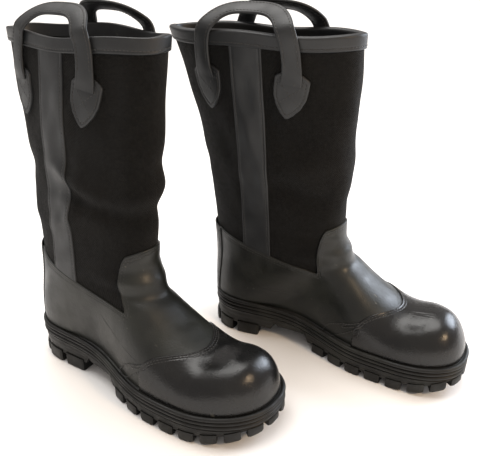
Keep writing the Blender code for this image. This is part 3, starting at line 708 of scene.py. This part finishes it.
def shield_stitches(boot, side, end):
    """The border row and the cross of each shield."""
    border = shield_outline(160)
    middle = np.array([0.0, -0.45 * PATCH_HEIGHT])
    inner = middle + (border - middle) * 0.82
    lines = [np.concatenate([inner, inner[:1]])]
    w, h = PATCH_HALF_WIDTH, PATCH_HEIGHT
    top, low = -0.20 * h, -0.66 * h
    steps = np.linspace(0, 1, 30)[:, None]
    for a, b in (((-0.72 * w, top), (0.55 * w, low)), ((0.72 * w, top), (-0.55 * w, low)),
                 ((-0.72 * w, top), (0.72 * w, top))):
        lines.append(np.array(a) * (1 - steps) + np.array(b) * steps)
    found = []
    for line in lines:
        s, z = shield_place(line, side, end)
        found.append(side_line(s, z, side, TRIM[0] + 0.0012, boot))
    return found


# ---------------------------------------------------------------- pull straps

def strap_path(side):
    """The strap's middle line and its facing: shield, up over the rim with a lean inward, and down again."""
    stand = 0.0006 + STRAP_THICKNESS / 2
    ends = [side_skin(STRIP_TOP_S + e * STRAP_REACH, PATCH_TOP + 0.003, side) for e in (1, -1)]
    feet = [p + n * stand for p, n in ends]
    rims = [side_skin(STRIP_TOP_S + e * STRAP_REACH, RIM_HEIGHT, side) for e in (1, -1)]
    over = [p + n * (stand + 0.0012) for p, n in rims]
    path, crowns = [], []
    for p in np.linspace(0, 1, 97):
        turn = math.pi * p
        s = STRIP_TOP_S + STRAP_REACH * math.copysign(abs(math.cos(turn)) ** 0.62, math.cos(turn))
        z = PATCH_TOP + 0.003 + (RIM_HEIGHT + STRAP_RISE - PATCH_TOP - 0.003) * math.sin(turn) ** 0.75
        near, top = (feet[0], over[0]) if p < 0.5 else (feet[1], over[1])
        up = min(max((z - near[2]) / (RIM_HEIGHT - near[2]), 0.0), 1.0)
        lean = max(z - RIM_HEIGHT - STRAP_CLEAR, 0.0) / STRAP_RISE
        path.append((s, near[1] + (top[1] - near[1]) * up - side * STRAP_LEAN * lean ** 1.2, z))
        crowns.append(min(max(z - RIM_HEIGHT, 0.0) / STRAP_RISE, 1.0))
    for end in (1, -1):
        tilt = SHIELD_TILT[(side, end)]
        down = np.linspace(0.001, 0.013, 7)
        s = STRIP_TOP_S + end * STRAP_REACH + down * math.sin(tilt)
        points, normals = side_skin(s, PATCH_TOP + 0.003 - down, side)
        lowered = points + normals * (stand - 0.09 * down)[:, None]
        extra = [tuple(q) for q in lowered]
        if end == 1:
            path = extra[::-1] + path
            crowns = [0.0] * len(extra) + crowns
        else:
            path = path + extra
            crowns = crowns + [0.0] * len(extra)
    path = np.array(path)
    for _ in range(6):
        path[1:-1] = (path[:-2] + 2 * path[1:-1] + path[2:]) / 4
    reach = np.concatenate([[0], np.cumsum(np.linalg.norm(np.diff(path, axis=0), axis=-1))])
    even = np.linspace(0, reach[-1], 110)
    crowns = np.interp(even, reach, crowns)
    path = np.stack([np.interp(even, reach, path[:, k]) for k in range(3)], -1)
    along = np.gradient(path, axis=0)
    along /= np.linalg.norm(along, axis=-1, keepdims=True)
    splay = STRAP_SPLAY * (path[:, 0] - STRIP_TOP_S) / STRAP_REACH
    facing = np.stack([splay, side * (1 - 0.5 * crowns), 0.9 * crowns], -1)
    facing -= along * (facing * along).sum(-1, keepdims=True)
    facing /= np.linalg.norm(facing, axis=-1, keepdims=True)
    return path, np.cross(along, facing), facing, even / reach[-1]


def strap(side):
    """A folded leather strap: a crowned section with stitched grooves, wider where it meets the shields."""
    path, width, facing, share = strap_path(side)
    turn = np.linspace(0, 2 * math.pi, 32, endpoint=False)
    x = np.sign(np.cos(turn)) * np.abs(np.cos(turn)) ** 0.45 * STRAP_WIDTH / 2
    y = np.sign(np.sin(turn)) * np.abs(np.sin(turn)) ** 0.75 * STRAP_THICKNESS / 2
    y -= np.sign(y) * 0.0004 * np.exp(-((np.abs(x) - 0.0066) / 0.0009) ** 2)
    ends = np.minimum(share, 1 - share)
    flare = 1 + 0.14 * np.exp(-(ends / 0.06) ** 2)
    thin = 1 - 0.45 * np.exp(-(ends / 0.035) ** 2)
    sections = (path[:, None] + width[:, None] * (x[None, :] * flare[:, None])[..., None]
                + facing[:, None] * (y[None, :] * thin[:, None])[..., None])
    return swept(sections, closed=False)


def strap_stitches(side):
    path, width, facing, _ = strap_path(side)
    inside = slice(9, -9)
    lines = []
    for face in (1, -1):
        for row in (0.0066, -0.0066):
            points = path + width * row + facing * face * (STRAP_THICKNESS / 2 - 0.0003)
            lines.append((points[inside], facing[inside] * face))
    return lines


# ---------------------------------------------------------------- the sole

def outline_table():
    """The sole's outline as an even loop from the heel's back along the outer side: places and normals."""
    bend = (1 - np.cos(np.linspace(0, math.pi, 400))) / 2
    s = 0.0002 + (LENGTH - 0.0004) * bend
    ends = round_end(s, HEEL_ROUND) * round_end(LENGTH - s, TOE_ROUND)
    centre = through(CENTRE_S, CENTRE_T, s)
    outer = np.stack([s, centre + through(OUTER_S, OUTER_HALF, s) * ends], -1)
    inner = np.stack([s, centre - through(INNER_S, INNER_HALF, s) * ends], -1)
    loop = np.concatenate([outer, inner[::-1], outer[:1]])
    reach = np.concatenate([[0], np.cumsum(np.linalg.norm(np.diff(loop, axis=0), axis=-1))])
    even = np.linspace(0, reach[-1], 721)[:-1]
    places = np.stack([np.interp(even, reach, loop[:, k]) for k in (0, 1)], -1)
    for _ in range(4):
        places = (np.roll(places, 1, 0) + 2 * places + np.roll(places, -1, 0)) / 4
    along = np.roll(places, -1, 0) - np.roll(places, 1, 0)
    normals = np.stack([-along[:, 1], along[:, 0]], -1)
    normals /= np.linalg.norm(normals, axis=-1, keepdims=True)
    outwards = np.sign(((places - np.array([0.16, 0.0])) * normals).sum(-1)).mean()
    return places, normals * np.sign(outwards), reach[-1]


OUTLINE, OUTLINE_NORMALS, OUTLINE_LENGTH = outline_table()


def outline_at(q, inset=0.0):
    """Places on the outline at distances round it, drawn in by an inset."""
    where = np.mod(np.asarray(q, float), OUTLINE_LENGTH) / OUTLINE_LENGTH * len(OUTLINE)
    i = where.astype(int) % len(OUTLINE)
    j = (i + 1) % len(OUTLINE)
    p = (where - np.floor(where))[..., None]
    places = OUTLINE[i] * (1 - p) + OUTLINE[j] * p
    normals = OUTLINE_NORMALS[i] * (1 - p) + OUTLINE_NORMALS[j] * p
    return places - normals * np.asarray(inset, float)[..., None]


def underside(s):
    """The outsole's underside: heel block, arch, forepart and toe spring."""
    ramp = 0.008
    rise = np.clip((s - HEEL_END) / ramp, 0, 1) * np.clip((FOREPART_START - s) / ramp, 0, 1)
    spring = np.clip((s - SPRING_START) / (LENGTH - SPRING_START), 0, 1) ** 2 * TOE_SPRING
    return ARCH_HEIGHT * (rise * rise * (3 - 2 * rise)) + spring


def heel_share(s):
    """1 over the heel block, 0 before it."""
    return np.clip((HEEL_END + 0.012 - s) / 0.012, 0, 1)


def wall(profile, closed_top=True, count=720):
    """A solid round the outline from (inset, height) stations, whose rows run from top to bottom."""
    q = np.arange(count) * OUTLINE_LENGTH / count
    base = outline_at(q)
    rows = []
    for inset, height in profile:
        place = outline_at(q, np.broadcast_to(inset(base[:, 0]), q.shape))
        rows.append(np.concatenate([place, np.broadcast_to(height(base[:, 0]), q.shape)[:, None]], -1))
    rows = np.stack(rows)
    faces = grid_quads(len(rows), count, 0, closed=True)
    if closed_top:
        for row in (0, len(rows) - 1):
            start = row * count
            for k in range(count // 2 - 1):
                a, b = start + k, start + k + 1
                c, d = start + (count - 1 - k - 1) % count, start + (count - 1 - k) % count
                faces.append((a, b, c, d))
    else:
        last = (len(rows) - 1) * count
        faces += [(k, (k + 1) % count, last + (k + 1) % count, last + k) for k in range(count)]
    return rows.reshape(-1, 3), faces


def level(drop):
    """A height rule a drop below the feather line."""
    return lambda s: feather_height(s) - drop


def flat_inset(value):
    return lambda s: value + 0 * s


def bead(first_drop, last_drop, inset, swell, steps=9):
    """Stations of a rounded rib along the side wall."""
    return [(flat_inset(inset - swell * math.sin(math.pi * k / (steps - 1)) ** 0.6),
             level(first_drop + (last_drop - first_drop) * k / (steps - 1))) for k in range(steps)]


def welt_rubber():
    """The ledge round the upper, with a rolled outer edge."""
    profile = [(flat_inset(0.0115), level(-0.0016)), (flat_inset(0.0085), level(-0.0016)),
               (flat_inset(0.0070), level(-0.0012)), (flat_inset(0.0056), level(0.0004)),
               (flat_inset(0.0042), level(0.0005)), (flat_inset(0.0034), level(-0.0002)),
               (flat_inset(0.0024), level(-0.0007))]
    profile += bead(-0.0003, 0.0040, 0.0014, 0.0016)
    profile += [(flat_inset(0.0040), level(0.0048)), (flat_inset(0.0115), level(0.0048))]
    return wall(profile, closed_top=False)


def midsole_rubber():
    """The side band: two ribs between narrow grooves."""
    profile = [(flat_inset(0.0060), level(0.0040)), (flat_inset(0.0022), level(0.0044))]
    profile += bead(0.0048, 0.0085, 0.0012, 0.0012)
    profile += [(flat_inset(0.0021), level(0.0090))]
    profile += bead(0.0095, 0.0138, 0.0012, 0.0014)
    profile += [(flat_inset(0.0024), level(0.0143)), (flat_inset(0.0060), level(0.0146))]
    return wall(profile)


def root_height(s):
    """How far up the lugs' roots are: high on the heel block, lower in front."""
    return underside(s) + 0.0085 + 0.004 * heel_share(s) - 0.0085 * waist(s)


def waist(s):
    """1 under the arch, 0 on the tread."""
    return np.clip((s - HEEL_END) / 0.010, 0, 1) * np.clip((FOREPART_START - s) / 0.010, 0, 1)


def sole_base():
    """The outsole's body, from the midsole down to the lugs' roots."""
    profile = [(flat_inset(0.0060), level(0.0136)), (flat_inset(0.0016), level(0.0142)),
               (flat_inset(0.0008), level(0.0150))]
    for share in np.linspace(0.1, 0.97, 10):
        profile.append((lambda s, k=share: 0.0009 + 0.0015 * k + 0.0006 * math.sin(9.5 * k) ** 2,
                        lambda s, k=share: (feather_height(s) - 0.0150) * (1 - k) + root_height(s) * k))
    profile += [(flat_inset(0.0036), root_height), (flat_inset(0.0060), lambda s: root_height(s) - 0.0002)]
    return wall(profile)


def lug(q0, q1, depth):
    """One edge lug between two distances round the outline, chamfered below and at its ends."""
    count = max(8, int((q1 - q0) / 0.002))
    p = np.linspace(0, 1, count)
    q = q0 + (q1 - q0) * p
    edge = np.minimum(p, 1 - p) * (q1 - q0)
    pinch = rounded(edge, 0.0012)
    outer = outline_at(q)
    s = outer[:, 0]
    low = underside(s)
    top = np.minimum(root_height(s) + 0.0030, feather_height(s) - 0.0165)
    tall = top - low
    sections = []
    for inset, height in ((0.0010, 1.0), (0.0002, 0.80), (0.0000, 0.25), (0.0004, 0.07), (0.0014, 0.0)):
        place = outline_at(q, inset + pinch * (height < 0.9))
        sections.append(np.concatenate([place, (low + tall * height)[:, None]], -1))
    for inset, height in ((depth - 0.0016, 0.0), (depth - 0.0004, 0.08), (depth + 0.001, 1.0)):
        place = outline_at(q, np.full(count, inset) - pinch * (height < 0.9))
        sections.append(np.concatenate([place, (low + tall * height)[:, None]], -1))
    return swept(np.stack(sections, 1), closed=False)


def block(corners, low, height):
    """A chamfered lug over a small outline given by its corners."""
    corners = np.asarray(corners, float)
    middle = corners.mean(0)
    rows = []
    for share, rise in ((1.0, height), (0.99, 0.0012), (0.93, 0.0)):
        place = middle + (corners - middle) * share
        rows.append(np.concatenate([place, (low(place[:, 0]) + rise)[:, None]], -1))
    rows = np.stack(rows)
    faces = grid_quads(3, len(corners), 0, closed=True)
    faces.append(tuple(range(len(corners))))
    faces.append(tuple(2 * len(corners) + k for k in range(len(corners))))
    return rows.reshape(-1, 3), faces


def gathered(parts):
    """Several closed meshes as one."""
    vertices, faces, base = [], [], 0
    for points, polygons in parts:
        vertices.append(points)
        faces += [tuple(base + k for k in polygon) for polygon in polygons]
        base += len(points)
    return np.concatenate(vertices), faces


def tread():
    """Edge lugs round the heel and the forepart, and chevrons and bars between them."""
    q = np.arange(1440) * OUTLINE_LENGTH / 1440
    s = outline_at(q)[:, 0]
    half = len(q) // 2
    heel_reach = q[:half][s[:half] < HEEL_END - 0.002][-1]
    fore_start = q[:half][s[:half] < FOREPART_START + 0.002][-1]
    far_fore = q[half:][s[half:] > FOREPART_START + 0.002][-1]
    parts = [sole_base()]
    gap = 0.0072
    heel_span = 2 * heel_reach
    for k in range(7):
        start = -heel_reach + heel_span * k / 7
        parts.append(lug(start + gap / 2 * (k > 0), start + heel_span / 7 - gap / 2 * (k < 6), 0.017))
    count = 17
    span = far_fore - fore_start
    for k in range(count):
        start = fore_start + span * k / count
        parts.append(lug(start + gap / 2, start + span / count - gap / 2, 0.018 if k % 2 else 0.015))
    for s0 in np.arange(0.166, 0.286, 0.023):
        for hand in (1, -1):
            t = through(CENTRE_S, CENTRE_T, s0)
            corners = [(s0, t + hand * 0.003), (s0 + 0.013, t + hand * 0.003),
                       (s0 + 0.006, t + hand * 0.032), (s0 - 0.007, t + hand * 0.032)]
            parts.append(block(corners, underside, 0.011))
    for s0 in (0.024, 0.044, 0.064):
        parts.append(block([(s0, -0.022), (s0 + 0.011, -0.022), (s0 + 0.011, 0.022), (s0, 0.022)],
                           underside, 0.014))
    return gathered(parts)


# ---------------------------------------------------------------- materials

class Finish:
    """A procedural material under construction: a Principled shader with its colour, gloss and bump nodes."""

    def __init__(self, name, **sockets):
        self.material = bpy.data.materials.new(name)
        self.material.use_nodes = True
        self.tree = self.material.node_tree
        self.shader = self.tree.nodes["Principled BSDF"]
        for socket, value in sockets.items():
            self.shader.inputs[socket.replace("_", " ")].default_value = value
        self.place = self.tree.nodes.new("ShaderNodeTexCoord").outputs["Object"]
        self.normal = None

    def node(self, kind, **settings):
        made = self.tree.nodes.new(kind)
        for key, value in settings.items():
            setattr(made, key, value)
        return made

    def feed(self, made, **inputs):
        """Sets or links a node's inputs by name and gives back its first output."""
        for socket, value in inputs.items():
            target = made.inputs[socket.replace("_", " ")]
            if isinstance(value, bpy.types.NodeSocket):
                self.tree.links.new(value, target)
            else:
                target.default_value = value
        return made.outputs[0]

    def noise(self, scale, detail=3.0, place=None):
        made = self.node("ShaderNodeTexNoise")
        return self.feed(made, Vector=place or self.place, Scale=scale, Detail=detail)

    def stretched(self, scale, detail=2.0):
        """Noise drawn out along one axis, for streaks of painted highlight and brushed lines."""
        made = self.node("ShaderNodeMapping")
        moved = self.feed(made, Vector=self.place, Scale=scale, Rotation=(0.4, 0.5, 0.3))
        return self.noise(1.0, detail, moved)

    def cells(self, scale, feature="F1"):
        return self.feed(self.node("ShaderNodeTexVoronoi", feature=feature), Vector=self.place, Scale=scale)

    def span(self, value, low, high, to_low=0.0, to_high=1.0):
        made = self.node("ShaderNodeMapRange")
        made.interpolation_type = "SMOOTHSTEP"
        return self.feed(made, Value=value, From_Min=low, From_Max=high, To_Min=to_low, To_Max=to_high)

    def math(self, operation, first, second=0.0):
        made = self.node("ShaderNodeMath", operation=operation)
        for k, value in enumerate((first, second)):
            if isinstance(value, bpy.types.NodeSocket):
                self.tree.links.new(value, made.inputs[k])
            else:
                made.inputs[k].default_value = value
        return made.outputs[0]

    def blend(self, share, first, second):
        """A colour between two others."""
        made = self.node("ShaderNodeMix", data_type="RGBA")
        for k, value in ((0, share), (6, first), (7, second)):
            if isinstance(value, bpy.types.NodeSocket):
                self.tree.links.new(value, made.inputs[k])
            else:
                made.inputs[k].default_value = value if k == 0 else (*value, 1.0)
        return made.outputs[2]

    def bump(self, height, distance):
        made = self.node("ShaderNodeBump")
        inputs = {"Height": height, "Distance": distance, "Strength": 1.0}
        if self.normal is not None:
            inputs["Normal"] = self.normal
        self.normal = self.feed(made, **inputs)

    def done(self, colour, roughness):
        self.feed(self.shader, Base_Color=colour, Roughness=roughness)
        if self.normal is not None:
            self.feed(self.shader, Normal=self.normal)
        return self.material


def leather_finish(name, dark, light, gloss, grain, grain_depth, glint_strength):
    """Black leather: mottled colour, pore grain, creases, and small paler streaks painted in as highlights of
    fine creases.
    """
    finish = Finish(name, Specular_IOR_Level=0.38)
    mottle = finish.span(finish.noise(26.0, 4.0), 0.35, 0.68)
    # Painted highlight: paler streaks stand for the glints of fine creases, and they are a little rougher.
    crease_glints = finish.span(finish.stretched((310.0, 70.0, 190.0)), 0.66, 0.74)
    patchy = finish.span(finish.noise(40.0, 2.0), 0.52, 0.66)
    glint_share = finish.math("MULTIPLY", finish.math("MULTIPLY", crease_glints, patchy), glint_strength)
    # The pale tone (0.10, 0.095, 0.075) is painted highlight colour for the crease glints.
    colour = finish.blend(glint_share, finish.blend(mottle, dark, light), (0.10, 0.095, 0.075))
    pores = finish.cells(grain, "SMOOTH_F1")
    finish.bump(finish.noise(70.0, 3.0), 0.0003)
    finish.bump(pores, grain_depth)
    finish.bump(finish.noise(2400.0, 2.0), 0.00004)
    gloss_map = finish.span(finish.noise(55.0, 3.0), 0.3, 0.7, gloss[0], gloss[1])
    roughness = finish.math("ADD", gloss_map, finish.math("MULTIPLY", glint_share, 0.2))
    return finish.done(colour, roughness)


def cloth_finish(name, dark, light, pitch, depth):
    """Coarse woven cloth: threads over and under each other on the cloth's own flat map."""
    finish = Finish(name, Specular_IOR_Level=0.12, Sheen_Weight=0.05, Sheen_Roughness=0.5)
    flat = finish.node("ShaderNodeUVMap", uv_map="flat").outputs[0]
    wave_scale = 0.314 / pitch
    threads = [finish.feed(finish.node("ShaderNodeTexWave", bands_direction=way),
                           Vector=flat, Scale=wave_scale, Distortion=0.6, Detail=1.0) for way in ("X", "Y")]
    checks = finish.node("ShaderNodeTexChecker")
    finish.feed(checks, Vector=flat, Scale=1.0 / pitch)
    made = finish.node("ShaderNodeMix", data_type="FLOAT")
    finish.tree.links.new(checks.outputs["Fac"], made.inputs[0])
    finish.tree.links.new(threads[0], made.inputs[2])
    finish.tree.links.new(threads[1], made.inputs[3])
    weave = made.outputs[0]
    finish.bump(finish.noise(45.0, 3.0), 0.0009)
    finish.bump(weave, depth)
    finish.bump(finish.noise(1700.0, 2.0), 0.00012)
    mottle = finish.span(finish.noise(420.0, 3.0), 0.38, 0.66)
    dusty = finish.span(finish.noise(14.0, 4.0), 0.45, 0.75, 0.0, 0.5)
    base = finish.blend(finish.math("MULTIPLY", mottle, weave), dark, light)
    colour = finish.blend(dusty, base, light)
    return finish.done(colour, finish.span(finish.noise(200.0), 0.3, 0.7, 0.80, 0.95))


def felt_finish(name, dark, light):
    """Napped lining felt."""
    finish = Finish(name, Specular_IOR_Level=0.12, Sheen_Weight=0.08)
    finish.bump(finish.noise(600.0, 4.0), 0.0005)
    finish.bump(finish.noise(60.0, 3.0), 0.0010)
    colour = finish.blend(finish.span(finish.noise(300.0, 4.0), 0.35, 0.65), dark, light)
    return finish.done(colour, finish.span(finish.noise(100.0), 0.3, 0.7, 0.88, 0.98))


def rubber_finish(name, dark, light):
    """Moulded rubber: matte, a little dusty in patches, with fine mould texture."""
    finish = Finish(name, Specular_IOR_Level=0.3)
    dusty = finish.span(finish.noise(22.0, 5.0), 0.46, 0.72)
    specks = finish.span(finish.noise(700.0, 2.0), 0.55, 0.75, 0.0, 0.4)
    colour = finish.blend(specks, finish.blend(dusty, dark, light), light)
    finish.bump(finish.noise(900.0, 3.0), 0.00010)
    finish.bump(finish.noise(90.0, 3.0), 0.00035)
    return finish.done(colour, finish.span(finish.noise(60.0, 4.0), 0.3, 0.7, 0.42, 0.66))


def thread_finish():
    """Twisted black thread."""
    finish = Finish("thread", Specular_IOR_Level=0.4, Sheen_Weight=0.2)
    twist = finish.stretched((2600.0, 2600.0, 900.0))
    finish.bump(twist, 0.0001)
    colour = finish.blend(finish.span(twist, 0.3, 0.7), (0.010, 0.010, 0.010), (0.034, 0.033, 0.030))
    return finish.done(colour, finish.span(finish.noise(300.0), 0.3, 0.7, 0.55, 0.75))


def steel_finish():
    """Pressed steel with brushed lines."""
    finish = Finish("pressed_steel", Metallic=1.0)
    lines = finish.stretched((30.0, 1500.0, 1500.0))
    finish.bump(lines, 0.00003)
    colour = finish.blend(finish.span(finish.noise(60.0), 0.35, 0.7), (0.50, 0.51, 0.53), (0.62, 0.63, 0.64))
    return finish.done(colour, finish.span(lines, 0.3, 0.7, 0.26, 0.42))


def board_finish():
    """Pressed leather-fibre board."""
    finish = Finish("fibre_board")
    fibres = finish.stretched((700.0, 220.0, 700.0), 4.0)
    finish.bump(fibres, 0.0002)
    colour = finish.blend(finish.span(fibres, 0.35, 0.65), (0.20, 0.13, 0.07), (0.34, 0.25, 0.15))
    return finish.done(colour, finish.span(finish.noise(120.0), 0.3, 0.7, 0.78, 0.92))


def foam_finish():
    """Cloth-faced foam underfoot."""
    finish = Finish("footbed_foam", Sheen_Weight=0.2)
    finish.bump(finish.cells(900.0), 0.0002)
    speckle = finish.span(finish.noise(250.0), 0.4, 0.6)
    colour = finish.blend(speckle, (0.020, 0.020, 0.022), (0.06, 0.06, 0.065))
    return finish.done(colour, finish.span(finish.noise(90.0), 0.3, 0.7, 0.85, 0.95))


def floor_finish():
    """A plain pale floor with the faintest unevenness."""
    finish = Finish("pale_floor", Specular_IOR_Level=0.15)
    colour = finish.blend(finish.span(finish.noise(3.0), 0.3, 0.7), (0.86, 0.845, 0.83), (0.88, 0.87, 0.86))
    return finish.done(colour, finish.span(finish.noise(8.0), 0.3, 0.7, 0.75, 0.85))


FINISHES = {
    "leather": leather_finish("foot_leather", (0.0085, 0.0092, 0.0080), (0.015, 0.016, 0.013),
                              (0.34, 0.48), 620.0, 0.00010, 0.8),
    "grained_leather": leather_finish("grained_toe_leather", (0.0060, 0.0060, 0.0060), (0.010, 0.010, 0.0095),
                                      (0.20, 0.30), 760.0, 0.00013, 0.4),
    "trim_leather": leather_finish("trim_leather", (0.0120, 0.0130, 0.0140), (0.019, 0.0205, 0.0215),
                                   (0.42, 0.55), 900.0, 0.00006, 0.3),
    "shaft_textile": cloth_finish("shaft_cloth", (0.0022, 0.0021, 0.0018), (0.0085, 0.0076, 0.0062),
                                  0.0013, 0.00035),
    "lining_textile": felt_finish("lining_felt", (0.007, 0.007, 0.0055), (0.022, 0.022, 0.0165)),
    "sole_rubber": rubber_finish("sole_rubber", (0.0070, 0.0070, 0.0065), (0.019, 0.0195, 0.0165)),
    "steel": steel_finish(),
    "fibreboard": board_finish(),
    "foam": foam_finish(),
    "thread": thread_finish(),
}


# ---------------------------------------------------------------- putting the boots together

SIDES = {"lateral_": 1, "medial_": -1}
INNER_NODES = {"shank": "steel", "puncture_plate": "steel", "insole_board": "fibreboard", "footbed": "foam",
               "safety_toe_cap": "steel", "heel_stiffener": "fibreboard"}


def dress(name, shape, boot, body, slot, nodes=(), finish=None):
    """Makes a piece, puts it on its body, and lets it stand for its CAD nodes."""
    piece = make(name, shape[0], shape[1], boot, FINISHES[finish or slot], slot, *shape[2:3])
    if isinstance(body, str):
        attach(piece, body)
    if nodes:
        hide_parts(*nodes)
    return piece


def strap_blend(piece):
    """Bakes a strap's placement into its mesh."""
    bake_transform(piece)


def seam_lines(boot):
    """The stitch lines of the foot: topline, toe cover, heel cover."""
    lines = []
    wide = np.linspace(-(math.pi - HEEL_COVER_ANGLE), math.pi - HEEL_COVER_ANGLE, 900)
    top = topline_v(wide)
    heel = np.linspace(math.pi - HEEL_COVER_ANGLE, math.pi + HEEL_COVER_ANGLE, 300)
    heel_top = topline_v(heel)
    toe, _, toe_high = toe_cover_edge()
    for row in (FIRST_ROW, SECOND_ROW):
        lines.append(line_on(*shifted(wide, top, -row), LEATHER[0] - 0.0002, boot))
        lines.append(line_on(*shifted(heel, heel_top, -row), HEEL_LAYER[0] - 0.0002, boot))
        lines.append(line_on(*shifted(toe, toe_high, -row), TOE_LAYER[0] - 0.0002, boot))
        for end, way in ((math.pi - HEEL_COVER_ANGLE, 1), (math.pi + HEEL_COVER_ANGLE, -1)):
            v = np.linspace(float(sole_edge(np.array([end]))[0]) + 0.02,
                            float(topline_v(np.array([end]))[0]) - 0.012, 120)
            lines.append(line_on(*shifted(np.full(120, end), v, -way * row), HEEL_LAYER[0] - 0.0002, boot))
    return lines


def make_boot(boot):
    body = boot + "boot"
    dress(boot + "vamp_leather", vamp(boot), boot, body, "leather", [boot + "vamp"])
    dress(boot + "toe_cover_leather", toe_cover(boot), boot, body, "grained_leather", [boot + "toe_cover"])
    dress(boot + "heel_cover_leather", heel_cover(boot), boot, body, "leather", [boot + "heel_cover"])
    cloth = dress(boot + "shaft_cloth", shaft_cloth(boot), boot, body, "shaft_textile",
                  [boot + "shaft_fabric"])
    felt = dress(boot + "lining_felt", lining_cloth(boot), boot, body, "lining_textile", [boot + "lining"])
    vertices, faces, feet, us = rim_binding(boot)
    dress(boot + "rim_binding", (vertices, faces), boot, body, "trim_leather", [boot + "top_binding"])
    dress(boot + "welt_rubber", welt_rubber(), boot, body, "sole_rubber", [boot + "welt"])
    dress(boot + "midsole_rubber", midsole_rubber(), boot, body, "sole_rubber", [boot + "midsole"])
    dress(boot + "tread_rubber", tread(), boot, body, "sole_rubber", [boot + "outsole"])
    lines = seam_lines(boot)
    ring = np.concatenate([us, us[:1]])
    foot = np.concatenate([feet, feet[:1]])
    lines.append(line_on(*shifted(ring, foot, 0.0032), 0.0003, boot))
    for side_name, side in SIDES.items():
        dress(boot + side_name + "strip_leather", side_strip(boot, side), boot, body, "trim_leather",
              [boot + side_name + "side_strip"])
        for across in (STRIP_WIDTH / 2 - FIRST_ROW, FIRST_ROW - STRIP_WIDTH / 2):
            s, z = strip_line(side, across)
            lines.append(side_line(s[8:-10], z[8:-10], side, TRIM[0] - 0.0001, boot))
        for end_name, end in (("front_", 1), ("rear_", -1)):
            dress(boot + side_name + end_name + "shield", shield(boot, side, end), boot, body, "trim_leather",
                  [boot + side_name + end_name + "patch"])
            lines += shield_stitches(boot, side, end)
        band = dress(boot + side_name + "strap_leather", strap(side), boot, None, "trim_leather",
                     [boot + side_name + "pull_strap"])
        strap_blend(band)
        threads = dress(boot + side_name + "strap_stitches", stitches(strap_stitches(side)), boot, None,
                        "trim_leather", finish="thread")
        strap_blend(threads)
    dress(boot + "stitches", stitches(lines), boot, body, "trim_leather", finish="thread")
    for node, slot in INNER_NODES.items():
        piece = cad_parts[boot + node]
        piece.data.materials.clear()
        piece.data.materials.append(FINISHES[slot])


for boot_name in BOOTS:
    make_boot(boot_name)


# ---------------------------------------------------------------- floor, light and camera

def aimed(item, target):
    item.rotation_euler = (Vector(target) - item.location).to_track_quat("-Z", "Y").to_euler()


def light(name, kind, place, target, energy, colour, size):
    lamp = bpy.data.lights.new(name, kind)
    lamp.energy = energy
    lamp.color = colour
    if kind == "SUN":
        lamp.angle = size
    else:
        lamp.shape = "DISK"
        lamp.size = size
    item = bpy.data.objects.new(name, lamp)
    item.location = place
    bpy.context.scene.collection.objects.link(item)
    aimed(item, target)


def make_stage():
    mesh = bpy.data.meshes.new("floor")
    reach = 14.0
    mesh.from_pydata([(-reach, -reach, 0), (reach, -reach, 0), (reach, reach, 0), (-reach, reach, 0)], [],
                     [(0, 1, 2, 3)])
    mesh.materials.append(floor_finish())
    floor = bpy.data.objects.new("floor", mesh)
    bpy.context.scene.collection.objects.link(floor)
    world = bpy.data.worlds.new("soft_room")
    world.use_nodes = True
    background = world.node_tree.nodes["Background"]
    background.inputs["Color"].default_value = (1.0, 0.93, 0.89, 1.0)
    background.inputs["Strength"].default_value = 0.55
    bpy.context.scene.world = world
    light("overhead", "SUN", (0.2, 0.5, 1.6), (0, 0, 0), 3.4, (1.0, 0.985, 0.96), math.radians(50))
    light("cool_window", "AREA", (1.25, -0.75, 0.75), (0.05, -0.1, 0.1), 26.0, (0.80, 0.88, 1.0), 0.9)
    light("warm_lamp", "AREA", (-0.15, -1.3, 1.0), (0.0, -0.1, 0.1), 9.0, (1.0, 0.72, 0.45), 0.25)


def make_camera():
    """The viewpoint: from the front left, a little above the rims, looking down."""
    pitch = math.radians(25.93)
    lens = bpy.data.cameras.new("camera")
    lens.sensor_width = 36.0
    lens.lens = 41.9
    item = bpy.data.objects.new("camera", lens)
    item.location = (CENTRING[0] - 0.44242, CENTRING[1] - 0.31010, 0.4402)
    ahead = Vector((0.8137 * math.cos(pitch), 0.5813 * math.cos(pitch), -math.sin(pitch)))
    item.rotation_euler = ahead.to_track_quat("-Z", "Y").to_euler()
    bpy.context.scene.collection.objects.link(item)
    bpy.context.scene.camera = item


make_stage()
make_camera()
bpy.context.scene.view_settings.view_transform = "Standard"
